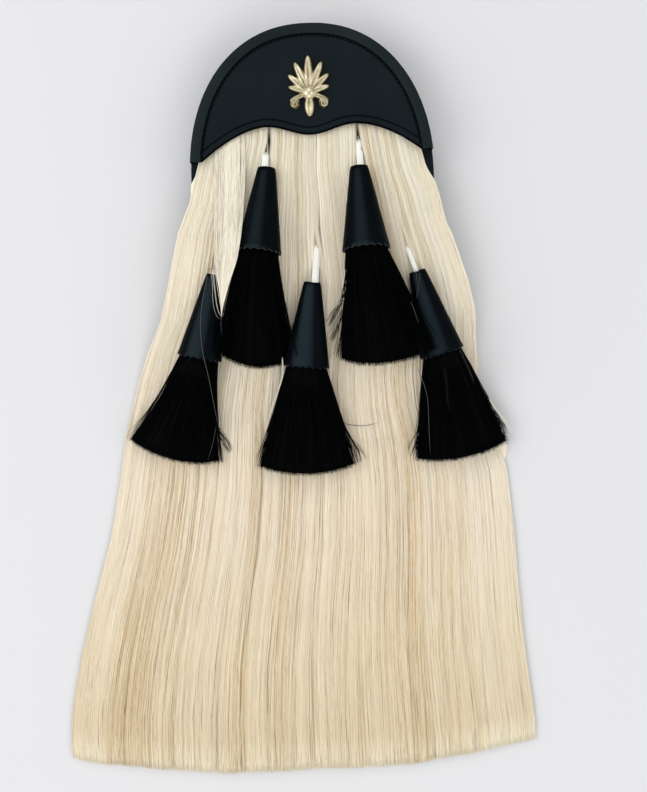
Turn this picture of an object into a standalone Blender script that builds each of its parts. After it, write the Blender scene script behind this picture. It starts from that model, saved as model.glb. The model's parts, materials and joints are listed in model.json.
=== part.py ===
"""A horsehair sporran that lies on its back: a black leather pouch whose domed flap has a raised
rim and a cast ornament, a long fall of white hair, and five black tassels on white thongs.

Metres, +Z up. The sporran's front faces up and its crown points along +Y. The pouch's own axes
start from the middle of its widest line, at the empty named pouch_centre.
"""

import math
from collections import namedtuple

import bmesh
import bpy
import numpy as np
from mathutils import Matrix, Vector

# Outline of the leather, seen from the front
HALF_WIDTH = 0.094
CROWN_RISE = 0.1175
POUCH_DROP = 0.075
CROWN_POWER = 2.2
POUCH_POWER = 2.6

# Leather, and the gap between two pieces
LEATHER = 0.0022
FLAP_LEATHER = 0.0024
CONE_LEATHER = 0.0016
EDGE_BEVEL = 0.0006
GAP = 0.0003

# Strap loops on the back
LOOP_LEATHER = 0.0018
LOOP_SPACE = 0.0045
LOOP_WIDTH = 0.022
LOOP_LENGTH = 0.040
LOOP_FOOT = 0.008
LOOP_X = 0.050
LOOP_Y = 0.052

# Heights of the layers above the surface
BACK_LOW = LOOP_LEATHER + LOOP_SPACE + GAP
GUSSET_LOW = BACK_LOW + LEATHER + GAP
GUSSET_DEPTH = 0.0128
FRONT_LOW = GUSSET_LOW + GUSSET_DEPTH + GAP
HAIR_LOW = FRONT_LOW + LEATHER + GAP
FLAP_LOW = HAIR_LOW + 0.0073
RIM_LOW = FLAP_LOW + FLAP_LEATHER + GAP
RIM_TOP = RIM_LOW + 0.0020

# Flap, rim and mouth
CORNER_Y = 0.0145
LOBE_Y = 0.0322
ARCH_X = 0.034
ARCH_Y = 0.0395
CORNER_X = 0.0845
ARCH_POWER = 1.7
RIM_WIDTH = 0.0082
RIM_WALL = 0.0020
RIM_CHAMFER = 0.0007
MOUTH_Y = 0.058
GUSSET_END = math.radians(30)
HINGE_START = math.radians(35)

# Horsehair
FALL_LENGTH = 0.130
FALL_START = 0.004
HAIR_EDGE = 0.0022
HAIR_CROWN_POWER = 3.5
HAIR_COLUMNS = 26
HEM_SAG = 0.0160

# Tassels
CONE_TOP_HALF = 0.0070
FLATTEN = 0.75
REST_GAP = 0.0006
TEETH = 18
TOOTH_DEPTH = 0.0016
BRUSH_CLEARANCE = 0.0007
BRUSH_TIP_HALF = 0.0070
BRUSH_END_ROUNDING = 0.55
BRUSH_SIDES = 20
BRUSH_SETTLES = 0.35
BRUSH_SAG = 0.10
THONG_WIDTH = 0.0055
THONG_THICKNESS = 0.0012
THONG_INSIDE = 0.0090
THONG_TOP_Y = 0.047
THONG_RISE = 0.010
THONG_STEP = 0.012

# The empty stands where it brings the middle of the sporran's box to X = Y = 0
POUCH_CENTRE = (0.02635, 0.17225, 0.0)

HairRow = namedtuple("HairRow", "y left right thick hem")
HAIR_ROWS = [
    HairRow(+0.0560, -0.0800, 0.0800, 0.0050, 0.0),
    HairRow(+0.0300, -0.0835, 0.0835, 0.0050, 0.0),
    HairRow(+0.0140, -0.0850, 0.0850, 0.0062, 0.0),
    HairRow(+0.0040, -0.0890, 0.0885, 0.0072, 0.0),
    HairRow(-0.0140, -0.0932, 0.0945, 0.0084, 0.0),
    HairRow(-0.0300, -0.1015, 0.0995, 0.0093, 0.0),
    HairRow(-0.0500, -0.1090, 0.1078, 0.0097, 0.0),
    HairRow(-0.0740, -0.1135, 0.1135, 0.0100, 0.0),
    HairRow(-0.1050, -0.1230, 0.1217, 0.0100, 0.0),
    HairRow(-0.1350, -0.1346, 0.1240, 0.0100, 0.0),
    HairRow(-0.1650, -0.1440, 0.1280, 0.0098, 0.0),
    HairRow(-0.1900, -0.1535, 0.1335, 0.0096, 0.0),
    HairRow(-0.2300, -0.1610, 0.1415, 0.0093, 0.0),
    HairRow(-0.2750, -0.1705, 0.1455, 0.0088, 0.0),
    HairRow(-0.3200, -0.1845, 0.1468, 0.0082, 0.1),
    HairRow(-0.3600, -0.1960, 0.1490, 0.0075, 0.3),
    HairRow(-0.4000, -0.2050, 0.1525, 0.0068, 0.6),
    HairRow(-0.4300, -0.2085, 0.1558, 0.0058, 0.9),
    HairRow(-0.4460, -0.2080, 0.1550, 0.0036, 1.0),
]
HAIR_ROWS_BETWEEN = 2

Tassel = namedtuple("Tassel", "place top mouth tip mouth_width fan_width")
TASSELS = [
    Tassel("upper_left", (-0.0348, 0.0072), (-0.0436, -0.0585), (-0.0492, -0.1437), 0.0340, 0.0530),
    Tassel("upper_right", (0.0358, 0.0054), (0.0384, -0.0587), (0.0446, -0.1449), 0.0360, 0.0610),
    Tassel("middle", (-0.0035, -0.0820), (-0.0073, -0.1479), (-0.0137, -0.2292), 0.0290, 0.0750),
    Tassel("lower_left", (-0.0801, -0.0713), (-0.0926, -0.1333), (-0.1184, -0.2130), 0.0330, 0.0730),
    Tassel("lower_right", (0.0764, -0.0765), (0.0937, -0.1397), (0.1091, -0.2213), 0.0340, 0.0760),
]

# Ornament: a palmette over two scrolls
BADGE_CENTRE = (0.0, 0.0640)
BADGE_TURN = math.radians(-0.5)
BADGE_DEPTH = 0.0036
BADGE_BOSS = 0.0052
SCROLL_RADIUS = 0.0046
SCROLL_PLACE = (0.0112, -0.0085)
STALK = (0.0165, 0.0056, math.radians(112))
DROP = (0.0190, 0.0090)
Leaf = namedtuple("Leaf", "turn length width")
LEAVES = [
    Leaf(0, 0.0290, 0.0080),
    Leaf(24, 0.0262, 0.0074),
    Leaf(48, 0.0214, 0.0068),
    Leaf(73, 0.0168, 0.0062),
]


def lerp(first, last, share):
    return first + (last - first) * share


def smoothstep(value):
    value = min(max(value, 0.0), 1.0)
    return value * value * (3 - 2 * value)


# --- scene, collections and materials ---


def clear_scene():
    for obj in list(bpy.data.objects):
        bpy.data.objects.remove(obj, do_unlink=True)


def new_collection(name):
    collection = bpy.data.collections.new(name)
    bpy.context.scene.collection.children.link(collection)
    return collection


def material(name, colour, roughness, metallic=0.0):
    made = bpy.data.materials.new(name)
    made.use_nodes = True
    shader = made.node_tree.nodes["Principled BSDF"]
    shader.inputs["Base Color"].default_value = (*colour, 1.0)
    shader.inputs["Roughness"].default_value = roughness
    shader.inputs["Metallic"].default_value = metallic
    made.diffuse_color = (*colour, 1.0)
    return made


def black_leather(name):
    return material(name + "_leather", (0.012, 0.015, 0.018), 0.42)


def add_part(name, shape, finish):
    """Makes a named object of a bmesh, hung on the empty at the pouch's centre."""
    mesh = bpy.data.meshes.new(name)
    shape.to_mesh(mesh)
    shape.free()
    part = bpy.data.objects.new(name, mesh)
    mesh.materials.append(finish)
    mesh.shade_smooth()
    mesh.set_sharp_from_angle(angle=math.radians(35))
    parts.objects.link(part)
    part.parent = pouch_centre
    return part


# --- the shared outline of the leather ---


def outline_point(angle, inset=0.0):
    """A point of the leather's outline, at an angle counted from +X, moved inward by inset."""
    if math.sin(angle) >= 0:
        height, power = CROWN_RISE, CROWN_POWER
    else:
        height, power = POUCH_DROP, POUCH_POWER
    x = HALF_WIDTH * math.copysign(abs(math.cos(angle)) ** (2 / power), math.cos(angle))
    y = height * math.copysign(abs(math.sin(angle)) ** (2 / power), math.sin(angle))
    outward = Vector((
        math.copysign(abs(x / HALF_WIDTH) ** (power - 1) / HALF_WIDTH, x),
        math.copysign(abs(y / height) ** (power - 1) / height, y),
    ))
    return Vector((x, y)) - outward.normalized() * inset


def outline_arc(start, stop, count, inset=0.0):
    return [outline_point(angle, inset) for angle in np.linspace(start, stop, count)]


def angle_at_height(y):
    """The outline's angle, right of the crown, at a height above the widest line."""
    return math.asin((y / CROWN_RISE) ** (CROWN_POWER / 2))


# --- building helpers ---


def leather_sheet(name, outline, low, thickness):
    """A flat sheet cut to an outline that runs anticlockwise, with softened edges."""
    shape = bmesh.new()
    corners = [shape.verts.new((x, y, low)) for x, y in outline]
    shape.faces.new(corners)
    part = add_part(name, shape, black_leather(name))
    wall = part.modifiers.new("thickness", "SOLIDIFY")
    wall.thickness = thickness
    wall.offset = 1
    edges = part.modifiers.new("softened_edges", "BEVEL")
    edges.width = EDGE_BEVEL
    edges.segments = 1
    edges.limit_method = "ANGLE"
    edges.angle_limit = math.radians(60)
    return part


def loft(name, rings, finish, closed=False):
    """Joins rings of equal length; an open loft gets a cap on each end."""
    shape = bmesh.new()
    rows = [[shape.verts.new(point) for point in ring] for ring in rings]
    pairs = list(zip(rows, rows[1:]))
    if closed:
        pairs.append((rows[-1], rows[0]))
    for first, second in pairs:
        for i in range(len(first)):
            j = (i + 1) % len(first)
            shape.faces.new((first[i], first[j], second[j], second[i]))
    if not closed:
        shape.faces.new(reversed(rows[0]))
        shape.faces.new(rows[-1])
    bmesh.ops.recalc_face_normals(shape, faces=shape.faces)
    return add_part(name, shape, finish)


# --- pouch ---


def make_strap_loop(name, side):
    """A leather strip bent into a low bridge, with a foot at each end against the back panel."""
    half, rise = LOOP_LENGTH / 2, LOOP_SPACE
    profile = [
        (-half - rise - LOOP_FOOT, rise),
        (-half - rise, rise),
        (-half, 0),
        (half, 0),
        (half + rise, rise),
        (half + rise + LOOP_FOOT, rise),
    ]
    shape = bmesh.new()
    left, right = (
        [shape.verts.new((side * LOOP_X + dx, LOOP_Y + y, z)) for y, z in profile]
        for dx in (-LOOP_WIDTH / 2, LOOP_WIDTH / 2)
    )
    for i in range(len(profile) - 1):
        shape.faces.new((left[i], right[i], right[i + 1], left[i + 1]))
    part = add_part(name, shape, black_leather(name))
    wall = part.modifiers.new("thickness", "SOLIDIFY")
    wall.thickness = LOOP_LEATHER
    wall.offset = 1
    wall.use_even_offset = True
    return part


def make_back_panel():
    outline = outline_arc(0, 2 * math.pi, 73)[:-1]
    return leather_sheet("back_panel", outline, BACK_LOW, LEATHER)


def make_gusset():
    """A leather wall round the sides and the bottom, open at the mouth under the flap."""
    path = outline_arc(GUSSET_END, -math.pi - GUSSET_END, 57)
    shape = bmesh.new()
    low = [shape.verts.new((x, y, GUSSET_LOW)) for x, y in path]
    high = [shape.verts.new((x, y, GUSSET_LOW + GUSSET_DEPTH)) for x, y in path]
    for i in range(len(path) - 1):
        shape.faces.new((low[i + 1], low[i], high[i], high[i + 1]))
    part = add_part("gusset", shape, black_leather("gusset"))
    wall = part.modifiers.new("thickness", "SOLIDIFY")
    wall.thickness = LEATHER
    wall.offset = -1
    wall.use_even_offset = True
    return part


def make_front_panel():
    """The sheet that carries the hair. Its straight top edge is the pouch's mouth."""
    side = angle_at_height(MOUTH_Y)
    outline = outline_arc(-math.pi - side, side, 61)
    return leather_sheet("front_panel", outline, FRONT_LOW, LEATHER)


# --- flap ---


def wavy_edge_y(x):
    """The flap's lower edge: a lobe in the middle between two arches that fall to the corners."""
    reach = abs(x)
    if reach <= ARCH_X:
        return LOBE_Y + (ARCH_Y - LOBE_Y) * (1 - math.cos(math.pi * reach / ARCH_X)) / 2
    share = (reach - ARCH_X) / (CORNER_X - ARCH_X)
    return ARCH_Y - (ARCH_Y - CORNER_Y) * share**ARCH_POWER


def make_flap_panel():
    inset = RIM_WALL + GAP
    corner = angle_at_height(CORNER_Y)
    outline = outline_arc(corner, math.pi - corner, 41, inset)
    outline += [(x, wavy_edge_y(x)) for x in np.linspace(-CORNER_X, CORNER_X, 41)]
    return leather_sheet("flap_panel", outline, FLAP_LOW, FLAP_LEATHER)


def make_rim_band():
    """A band on the flap's edge. Over the crown it runs down to the back panel as the hinge."""
    corner = angle_at_height(CORNER_Y)
    hinge_end = math.pi - HINGE_START
    step = math.radians(0.5)
    sides = np.linspace(corner, HINGE_START, 12)
    crown = np.linspace(HINGE_START + step, hinge_end - step, 33)
    far_side = np.linspace(hinge_end, math.pi - corner, 12)
    rings = []
    for angle in (*sides, *crown, *far_side):
        wall_low = GUSSET_LOW if HINGE_START < angle < hinge_end else HAIR_LOW
        section = [
            (0.0, wall_low),
            (0.0, RIM_TOP - RIM_CHAMFER),
            (RIM_CHAMFER, RIM_TOP),
            (RIM_WIDTH - RIM_CHAMFER, RIM_TOP),
            (RIM_WIDTH, RIM_TOP - RIM_CHAMFER),
            (RIM_WIDTH, RIM_LOW),
            (RIM_WALL, RIM_LOW),
            (RIM_WALL, wall_low),
        ]
        rings.append([(*outline_point(angle, inset), z) for inset, z in section])
    return loft("rim_band", rings, black_leather("rim_band"))


# --- ornament ---


def flat_leaf(length, width, turn, foot):
    """A long oval leaf that starts at foot and points along turn, counted from +Y."""
    shape = bmesh.new()
    bmesh.ops.create_uvsphere(shape, u_segments=10, v_segments=6, radius=1.0)
    bmesh.ops.scale(shape, vec=(width / 2, length / 2, BADGE_DEPTH), verts=shape.verts)
    bmesh.ops.translate(shape, vec=(0, length / 2, 0), verts=shape.verts)
    bmesh.ops.rotate(shape, matrix=Matrix.Rotation(-turn, 3, "Z"), verts=shape.verts)
    bmesh.ops.translate(shape, vec=(*foot, 0), verts=shape.verts)
    return shape


def low_dome(radius, middle):
    shape = bmesh.new()
    bmesh.ops.create_uvsphere(shape, u_segments=14, v_segments=8, radius=1.0)
    bmesh.ops.scale(shape, vec=(radius, radius, BADGE_DEPTH * 1.1), verts=shape.verts)
    bmesh.ops.translate(shape, vec=(*middle, 0), verts=shape.verts)
    return shape


def badge_helper(name, shape, collection):
    mesh = bpy.data.meshes.new(name)
    shape.to_mesh(mesh)
    shape.free()
    helper = bpy.data.objects.new(name, mesh)
    helper.hide_render = True
    helper.display_type = "WIRE"
    helper.parent = pouch_centre
    helper.matrix_local = badge_place
    collection.objects.link(helper)
    return helper


def make_badge():
    """Seven leaves fan out of a boss; two scrolls and a drop lie below it."""
    shapes = []
    for leaf in LEAVES:
        for side in (-1, 1) if leaf.turn else (1,):
            turn = math.radians(side * leaf.turn)
            shapes.append(flat_leaf(leaf.length, leaf.width, turn, (0, 0)))
    for side in (-1, 1):
        length, width, turn = STALK
        shapes.append(flat_leaf(length, width, side * turn, (0, 0)))
        shapes.append(low_dome(SCROLL_RADIUS, (side * SCROLL_PLACE[0], SCROLL_PLACE[1])))
    shapes.append(flat_leaf(*DROP, math.pi, (0, 0)))

    boss = low_dome(BADGE_BOSS, (0, 0))
    badge = add_part("badge", boss, material("badge_metal", (0.62, 0.56, 0.42), 0.32, 1.0))
    badge.matrix_local = badge_place

    pieces = new_collection("badge_pieces")
    for number, shape in enumerate(shapes):
        badge_helper(f"badge_leaf_{number}", shape, pieces)
    below = bmesh.new()
    bmesh.ops.create_cube(below, size=0.1)
    bmesh.ops.translate(below, vec=(0, 0, -0.05), verts=below.verts)
    cutter = badge_helper("badge_back_cutter", below, cutters)

    joined = badge.modifiers.new("leaves", "BOOLEAN")
    joined.operation = "UNION"
    joined.operand_type = "COLLECTION"
    joined.collection = pieces
    flat_back = badge.modifiers.new("flat_back", "BOOLEAN")
    flat_back.operation = "DIFFERENCE"
    flat_back.object = cutter
    return badge


# --- hair ---


def pouch_distance(x, y):
    """How far a point lies outside the pouch's lower outline; zero inside it."""
    if y > 0 and abs(x) < HALF_WIDTH:
        return 0.0
    if y <= 0 and abs(x / HALF_WIDTH) ** POUCH_POWER + abs(y / POUCH_DROP) ** POUCH_POWER < 1:
        return 0.0
    return min(math.hypot(x - px, y - py) for px, py in lower_outline)


def hair_under(x, y):
    """Height of the hair's underside: on the front panel, then falling to the surface."""
    fall = (pouch_distance(x, y) - FALL_START) / FALL_LENGTH
    return HAIR_LOW * (1 - smoothstep(fall))


def hair_row_at(y):
    """The hair's edges, thickness and hem share at any height, read between the table's rows."""
    heights = [-row.y for row in HAIR_ROWS]
    return HairRow(y, *(np.interp(-y, heights, column) for column in list(zip(*HAIR_ROWS))[1:]))


def hair_top(x, y):
    """Height of the hair's upper side, which thins towards its left and right edges."""
    row = hair_row_at(y)
    across = (2 * x - row.left - row.right) / (row.right - row.left)
    crown = 1 - min(abs(across), 1.0) ** HAIR_CROWN_POWER
    return hair_under(x, y) + lerp(HAIR_EDGE, row.thick, crown)


def make_horsehair():
    """One solid of the hair's outer form: a crowned mat, thickest in the middle."""
    heights = []
    for first, second in zip(HAIR_ROWS, HAIR_ROWS[1:]):
        heights += list(np.linspace(first.y, second.y, HAIR_ROWS_BETWEEN, endpoint=False))
    heights.append(HAIR_ROWS[-1].y)
    across = [math.sin(math.pi / 2 * t) for t in np.linspace(-1, 1, HAIR_COLUMNS + 1)]
    rings = []
    for height in heights:
        row = hair_row_at(height)
        top, under = [], []
        for u in across:
            x = lerp(row.left, row.right, (u + 1) / 2)
            y = height - HEM_SAG * row.hem * (1 - abs(u) ** 2.5)
            low = hair_under(x, height)
            crown = 1 - abs(u) ** HAIR_CROWN_POWER
            top.append((x, y, low + lerp(HAIR_EDGE, row.thick, crown)))
            under.append((x, y, low))
        rings.append(top + under[::-1])
    return loft("horsehair", rings, material("white_horsehair", (0.78, 0.71, 0.58), 0.5))


# --- tassels ---


class TasselFrame:
    """Where a tassel's cone and brush lie: an axis that rests on the hair, and its sideways line."""

    def __init__(self, tassel):
        self.tassel = tassel
        top, mouth, tip = (Vector(point) for point in (tassel.top, tassel.mouth, tassel.tip))
        self.mouth_half = tassel.mouth_width / 2
        top_z = hair_top(*top) + REST_GAP + CONE_TOP_HALF * FLATTEN
        mouth_z = hair_top(*mouth) + REST_GAP + self.mouth_half * FLATTEN
        lift = 0.0
        for share in np.linspace(0, 1, 12):
            x, y = top.lerp(mouth, share)
            half = lerp(CONE_TOP_HALF, self.mouth_half, share) * FLATTEN
            lift = max(lift, hair_top(x, y) + REST_GAP - (lerp(top_z, mouth_z, share) - half))
        self.top = Vector((*top, top_z + lift))
        self.mouth = Vector((*mouth, mouth_z + lift))
        self.length = (self.mouth - self.top).length
        self.along = (self.mouth - self.top).normalized()
        self.side = Vector((-self.along.y, self.along.x, 0)).normalized()
        self.up = self.along.cross(self.side)
        self.fan_along = (tip - mouth).normalized()
        self.fan_length = (tip - mouth).length
        self.fan_side = Vector((-self.fan_along.y, self.fan_along.x))

    def cone_half(self, share):
        return lerp(CONE_TOP_HALF, self.mouth_half, share)

    def oval(self, share, half, count, slip=0.0):
        """An oval ring square to the cone's axis; slip moves every other point along the axis."""
        middle = self.top.lerp(self.mouth, share)
        ring = []
        for i in range(count):
            turn = 2 * math.pi * i / count
            across = self.side * math.cos(turn) * half
            upward = self.up * math.sin(turn) * half * FLATTEN
            ring.append(middle + across + upward + self.along * slip * (i % 2))
        return ring


def make_tassel_cone(frame):
    """A hollow leather sleeve with a pinked edge round its wide end."""
    count = 2 * TEETH
    rings = [
        frame.oval(0, frame.cone_half(0), count),
        frame.oval(1, frame.cone_half(1), count, -TOOTH_DEPTH),
        frame.oval(1, frame.cone_half(1) - CONE_LEATHER, count, -TOOTH_DEPTH),
        frame.oval(0, frame.cone_half(0) - CONE_LEATHER, count),
    ]
    name = "tassel_cone_" + frame.tassel.place
    return loft(name, rings, black_leather(name), closed=True)


def make_tassel_hair(frame):
    """The brush: a root inside the cone, then a fan that sinks onto the white hair."""
    root = (THONG_INSIDE + BRUSH_CLEARANCE) / frame.length
    hidden_shares = (root, 0.5, 0.93)
    inner_halves = [frame.cone_half(share) - CONE_LEATHER - BRUSH_CLEARANCE for share in hidden_shares]
    rings = [
        frame.oval(share, half, BRUSH_SIDES)
        for share, half in zip(hidden_shares, inner_halves)
    ]
    mouth = Vector((frame.mouth.x, frame.mouth.y))
    mouth_half = inner_halves[-1]
    held_up_at_mouth = frame.mouth.z - hair_top(*mouth) - REST_GAP - mouth_half * FLATTEN
    for share in (0.04, 0.15, 0.3, 0.5, 0.7, 0.88, 0.97, 1.0):
        half = lerp(mouth_half, frame.tassel.fan_width / 2, share)
        thick = lerp(mouth_half * FLATTEN, BRUSH_TIP_HALF, share)
        if share == 1.0:
            thick *= BRUSH_END_ROUNDING
        settled = smoothstep(share / BRUSH_SETTLES)
        middle_top = hair_top(*(mouth + frame.fan_along * frame.fan_length * share))
        ring = []
        for turn in np.linspace(0, 2 * math.pi, BRUSH_SIDES, endpoint=False):
            u, v = math.cos(turn), math.sin(turn)
            reach = frame.fan_length * share * (1 - BRUSH_SAG * u * u)
            x, y = mouth + frame.fan_along * reach + frame.fan_side * half * u
            bed = lerp(middle_top + held_up_at_mouth, hair_top(x, y), settled)
            ring.append((x, y, bed + REST_GAP + thick * (1 + v)))
        rings.append(ring)
    name = "tassel_hair_" + frame.tassel.place
    return loft(name, rings, material(name + "_black", (0.006, 0.006, 0.007), 0.55))


def make_tassel_thong(frame):
    """A flat white thong from under the flap, over the hair and into the top of the cone."""
    inside = frame.top + frame.along * THONG_INSIDE
    outside = frame.top - frame.along * THONG_RISE
    half_thick = THONG_THICKNESS / 2
    upper_x = frame.top.x + (THONG_TOP_Y - frame.top.y) * frame.along.x / frame.along.y
    upper = Vector((upper_x, THONG_TOP_Y))
    lower = Vector((outside.x, outside.y))
    steps = max(3, math.ceil((upper - lower).length / THONG_STEP))
    middles = []
    for share in np.linspace(0, 1, steps):
        x, y = upper.lerp(lower, share)
        middles.append(Vector((x, y, hair_top(x, y) + REST_GAP + half_thick)))
    middles += [frame.top, inside]
    rings = []
    for middle in middles:
        across = frame.side * THONG_WIDTH / 2
        upward = Vector((0, 0, half_thick))
        rings.append([middle - across - upward, middle + across - upward,
                      middle + across + upward, middle - across + upward])
    name = "tassel_thong_" + frame.tassel.place
    return loft(name, rings, material(name + "_white", (0.85, 0.84, 0.80), 0.45))


clear_scene()
parts = new_collection("sporran_pouch")
cutters = new_collection("cutters")
pouch_centre = bpy.data.objects.new("pouch_centre", None)
pouch_centre.location = POUCH_CENTRE
parts.objects.link(pouch_centre)
lower_outline = outline_arc(0, -math.pi, 80)
badge_place = Matrix.Translation((*BADGE_CENTRE, RIM_LOW)) @ Matrix.Rotation(BADGE_TURN, 4, "Z")

make_back_panel()
for side_name, side_sign in (("left", -1), ("right", 1)):
    make_strap_loop("strap_loop_" + side_name, side_sign)
make_gusset()
make_front_panel()
make_flap_panel()
make_rim_band()
make_badge()
make_horsehair()
for tassel_row in TASSELS:
    tassel_frame = TasselFrame(tassel_row)
    make_tassel_thong(tassel_frame)
    make_tassel_cone(tassel_frame)
    make_tassel_hair(tassel_frame)
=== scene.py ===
# %% [markdown]
# # A horsehair sporran, from the fixed model to the finished look
#
# A sporran is the pouch that is worn in front of a kilt. This one has a black leather head with
# a domed flap and a raised rim, a cast ornament, a long fall of combed white horsehair, and five
# black hair tassels in leather cones that hang on white thongs. It lies on its back, so its
# front faces up. The solid model gives every place and size; this script gives the looks.
# All lengths are in metres, +Z is up and +Y points to the crown of the head.

# %% Load the fixed frame
import json
import math
from collections import namedtuple

import bmesh
import bpy
import numpy as np
from bmesh.types import BMEdge, BMFace, BMVert
from mathutils import Matrix, Vector
from mathutils.bvhtree import BVHTree

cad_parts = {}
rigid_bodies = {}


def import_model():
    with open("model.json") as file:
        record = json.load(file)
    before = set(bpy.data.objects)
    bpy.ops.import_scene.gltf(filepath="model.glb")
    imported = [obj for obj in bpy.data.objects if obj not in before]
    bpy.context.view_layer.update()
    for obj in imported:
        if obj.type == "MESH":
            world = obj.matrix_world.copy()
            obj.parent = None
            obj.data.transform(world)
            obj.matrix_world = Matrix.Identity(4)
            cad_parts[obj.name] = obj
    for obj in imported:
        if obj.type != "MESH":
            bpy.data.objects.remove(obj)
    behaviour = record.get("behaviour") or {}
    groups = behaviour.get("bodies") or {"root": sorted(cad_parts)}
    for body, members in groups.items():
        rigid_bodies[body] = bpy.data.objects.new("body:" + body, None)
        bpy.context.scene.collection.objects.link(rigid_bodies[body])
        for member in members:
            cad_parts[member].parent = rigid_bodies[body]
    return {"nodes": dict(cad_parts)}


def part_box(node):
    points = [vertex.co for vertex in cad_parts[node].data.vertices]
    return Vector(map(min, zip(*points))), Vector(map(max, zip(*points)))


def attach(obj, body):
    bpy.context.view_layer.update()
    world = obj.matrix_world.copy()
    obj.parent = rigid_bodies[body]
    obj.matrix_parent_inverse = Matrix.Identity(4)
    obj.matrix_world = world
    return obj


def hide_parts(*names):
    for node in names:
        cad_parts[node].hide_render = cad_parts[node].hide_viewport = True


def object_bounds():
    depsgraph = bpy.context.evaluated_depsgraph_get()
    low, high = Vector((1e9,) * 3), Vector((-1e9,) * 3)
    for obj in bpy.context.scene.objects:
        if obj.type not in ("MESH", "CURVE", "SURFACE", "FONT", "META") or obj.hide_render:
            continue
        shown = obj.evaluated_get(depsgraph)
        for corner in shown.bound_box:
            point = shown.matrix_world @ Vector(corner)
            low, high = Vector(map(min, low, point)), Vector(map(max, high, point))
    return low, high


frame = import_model()
cad_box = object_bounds()
nodes = frame["nodes"]
rng = np.random.default_rng(7)
print("nodes:", len(nodes), "box:", [tuple(round(v, 4) for v in corner) for corner in cad_box])

# %% [markdown]
# ## The camera
#
# The photograph looks straight down on the sporran, which is turned a little in the picture.
# The camera therefore stands above the surface, turned by that angle. Its distance follows from
# the lens and from the height of the view, because a camera on a 36 mm sensor sees 36 mm of
# height for each focal length of distance.

# %% Camera above the surface
VIEW_HEIGHT = 0.6257
LENS_MM = 70.0
SENSOR_MM = 36.0
VIEW_CENTRE = (0.02735, 0.00325)
VIEW_TURN = math.radians(-2.5)


def add_object(name, data):
    """Puts an object with this data into the scene, at the origin."""
    made = bpy.data.objects.new(name, data)
    bpy.context.scene.collection.objects.link(made)
    return made


camera_data = bpy.data.cameras.new("camera")
camera_data.lens = LENS_MM
camera_data.sensor_width = SENSOR_MM
camera = add_object("camera", camera_data)
camera.location = (*VIEW_CENTRE, VIEW_HEIGHT * LENS_MM / SENSOR_MM)
camera.rotation_euler = (0, 0, VIEW_TURN)
bpy.context.scene.camera = camera
print("camera height:", round(camera.location.z, 4))

# %% [markdown]
# ## Floor and light
#
# Black leather and white hair in one picture need a very soft light. The world gives a fill that
# is brighter on the left than on the right, so that round things get a darker side, and large
# panels on all four sides bring out the form. The view transform is the plain one, so a pale
# floor stays pale grey.

# %% A pale floor
FLOOR_HALF = 3.0
FLOOR_Z = -0.0002
FLOOR_COLOUR = (0.645, 0.647, 0.660, 1)
FLOOR_ROUGHNESS = 0.9
FLOOR_SHINE = 0.1


def add_mesh_object(name, shape):
    """Turns a bmesh into an object at the origin."""
    mesh = bpy.data.meshes.new(name)
    shape.to_mesh(mesh)
    shape.free()
    return add_object(name, mesh)


shape = bmesh.new()
bmesh.ops.create_grid(shape, x_segments=1, y_segments=1, size=FLOOR_HALF)
bmesh.ops.translate(shape, vec=(0, 0, FLOOR_Z), verts=shape.verts)
floor = add_mesh_object("floor", shape)
floor_paint = bpy.data.materials.new("floor_paint")
floor_paint.use_nodes = True
floor_shader = floor_paint.node_tree.nodes["Principled BSDF"]
floor_shader.inputs["Base Color"].default_value = FLOOR_COLOUR
floor_shader.inputs["Roughness"].default_value = FLOOR_ROUGHNESS
floor_shader.inputs["Specular IOR Level"].default_value = FLOOR_SHINE
floor.data.materials.append(floor_paint)
print("floor height:", FLOOR_Z)

# %% A soft world and four panels
WORLD_STRENGTH = 0.76
WORLD_LEAN = 0.18
PANEL_SIZE = 1.1
Panel = namedtuple("Panel", "name place power")
PANELS = [
    Panel("panel_left", (-1.15, 0.10, 1.20), 8.8),
    Panel("panel_right", (1.20, -0.05, 1.20), 4.6),
    Panel("panel_below", (0.05, -1.30, 1.20), 6.5),
    Panel("panel_above", (0.0, 1.35, 1.20), 4.5),
]


def add_panel(panel):
    """A square area light that faces the middle of the sporran."""
    data = bpy.data.lights.new(panel.name, "AREA")
    data.size = PANEL_SIZE
    data.energy = panel.power
    lamp = add_object(panel.name, data)
    lamp.location = panel.place
    lamp.rotation_euler = (-Vector(panel.place)).to_track_quat("-Z", "Y").to_euler()


for panel in PANELS:
    add_panel(panel)
world = bpy.data.worlds.new("studio")
world.use_nodes = True
sky = world.node_tree.nodes["Background"]
sky.inputs["Color"].default_value = (1.0, 1.0, 1.0, 1)
way = world.node_tree.nodes.new("ShaderNodeTexCoord")
across = world.node_tree.nodes.new("ShaderNodeSeparateXYZ")
lean = world.node_tree.nodes.new("ShaderNodeMapRange")
lean.inputs["From Min"].default_value = -1.0
lean.inputs["To Min"].default_value = WORLD_STRENGTH * (1 + WORLD_LEAN)
lean.inputs["To Max"].default_value = WORLD_STRENGTH * (1 - WORLD_LEAN)
world.node_tree.links.new(way.outputs["Generated"], across.inputs["Vector"])
world.node_tree.links.new(across.outputs["X"], lean.inputs["Value"])
world.node_tree.links.new(lean.outputs["Result"], sky.inputs["Strength"])
bpy.context.scene.world = world
bpy.context.scene.view_settings.view_transform = "Standard"
print("light panels:", len(PANELS))

# %% [markdown]
# ## Places on the pouch
#
# The whole sporran is laid out round one point, the middle of the leather's widest line. It is
# read from the back panel's box. The leather's outline is a superellipse, a rounded shape
# between an ellipse and a box, and the flap's lower edge is a lobe between two arches.

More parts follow.
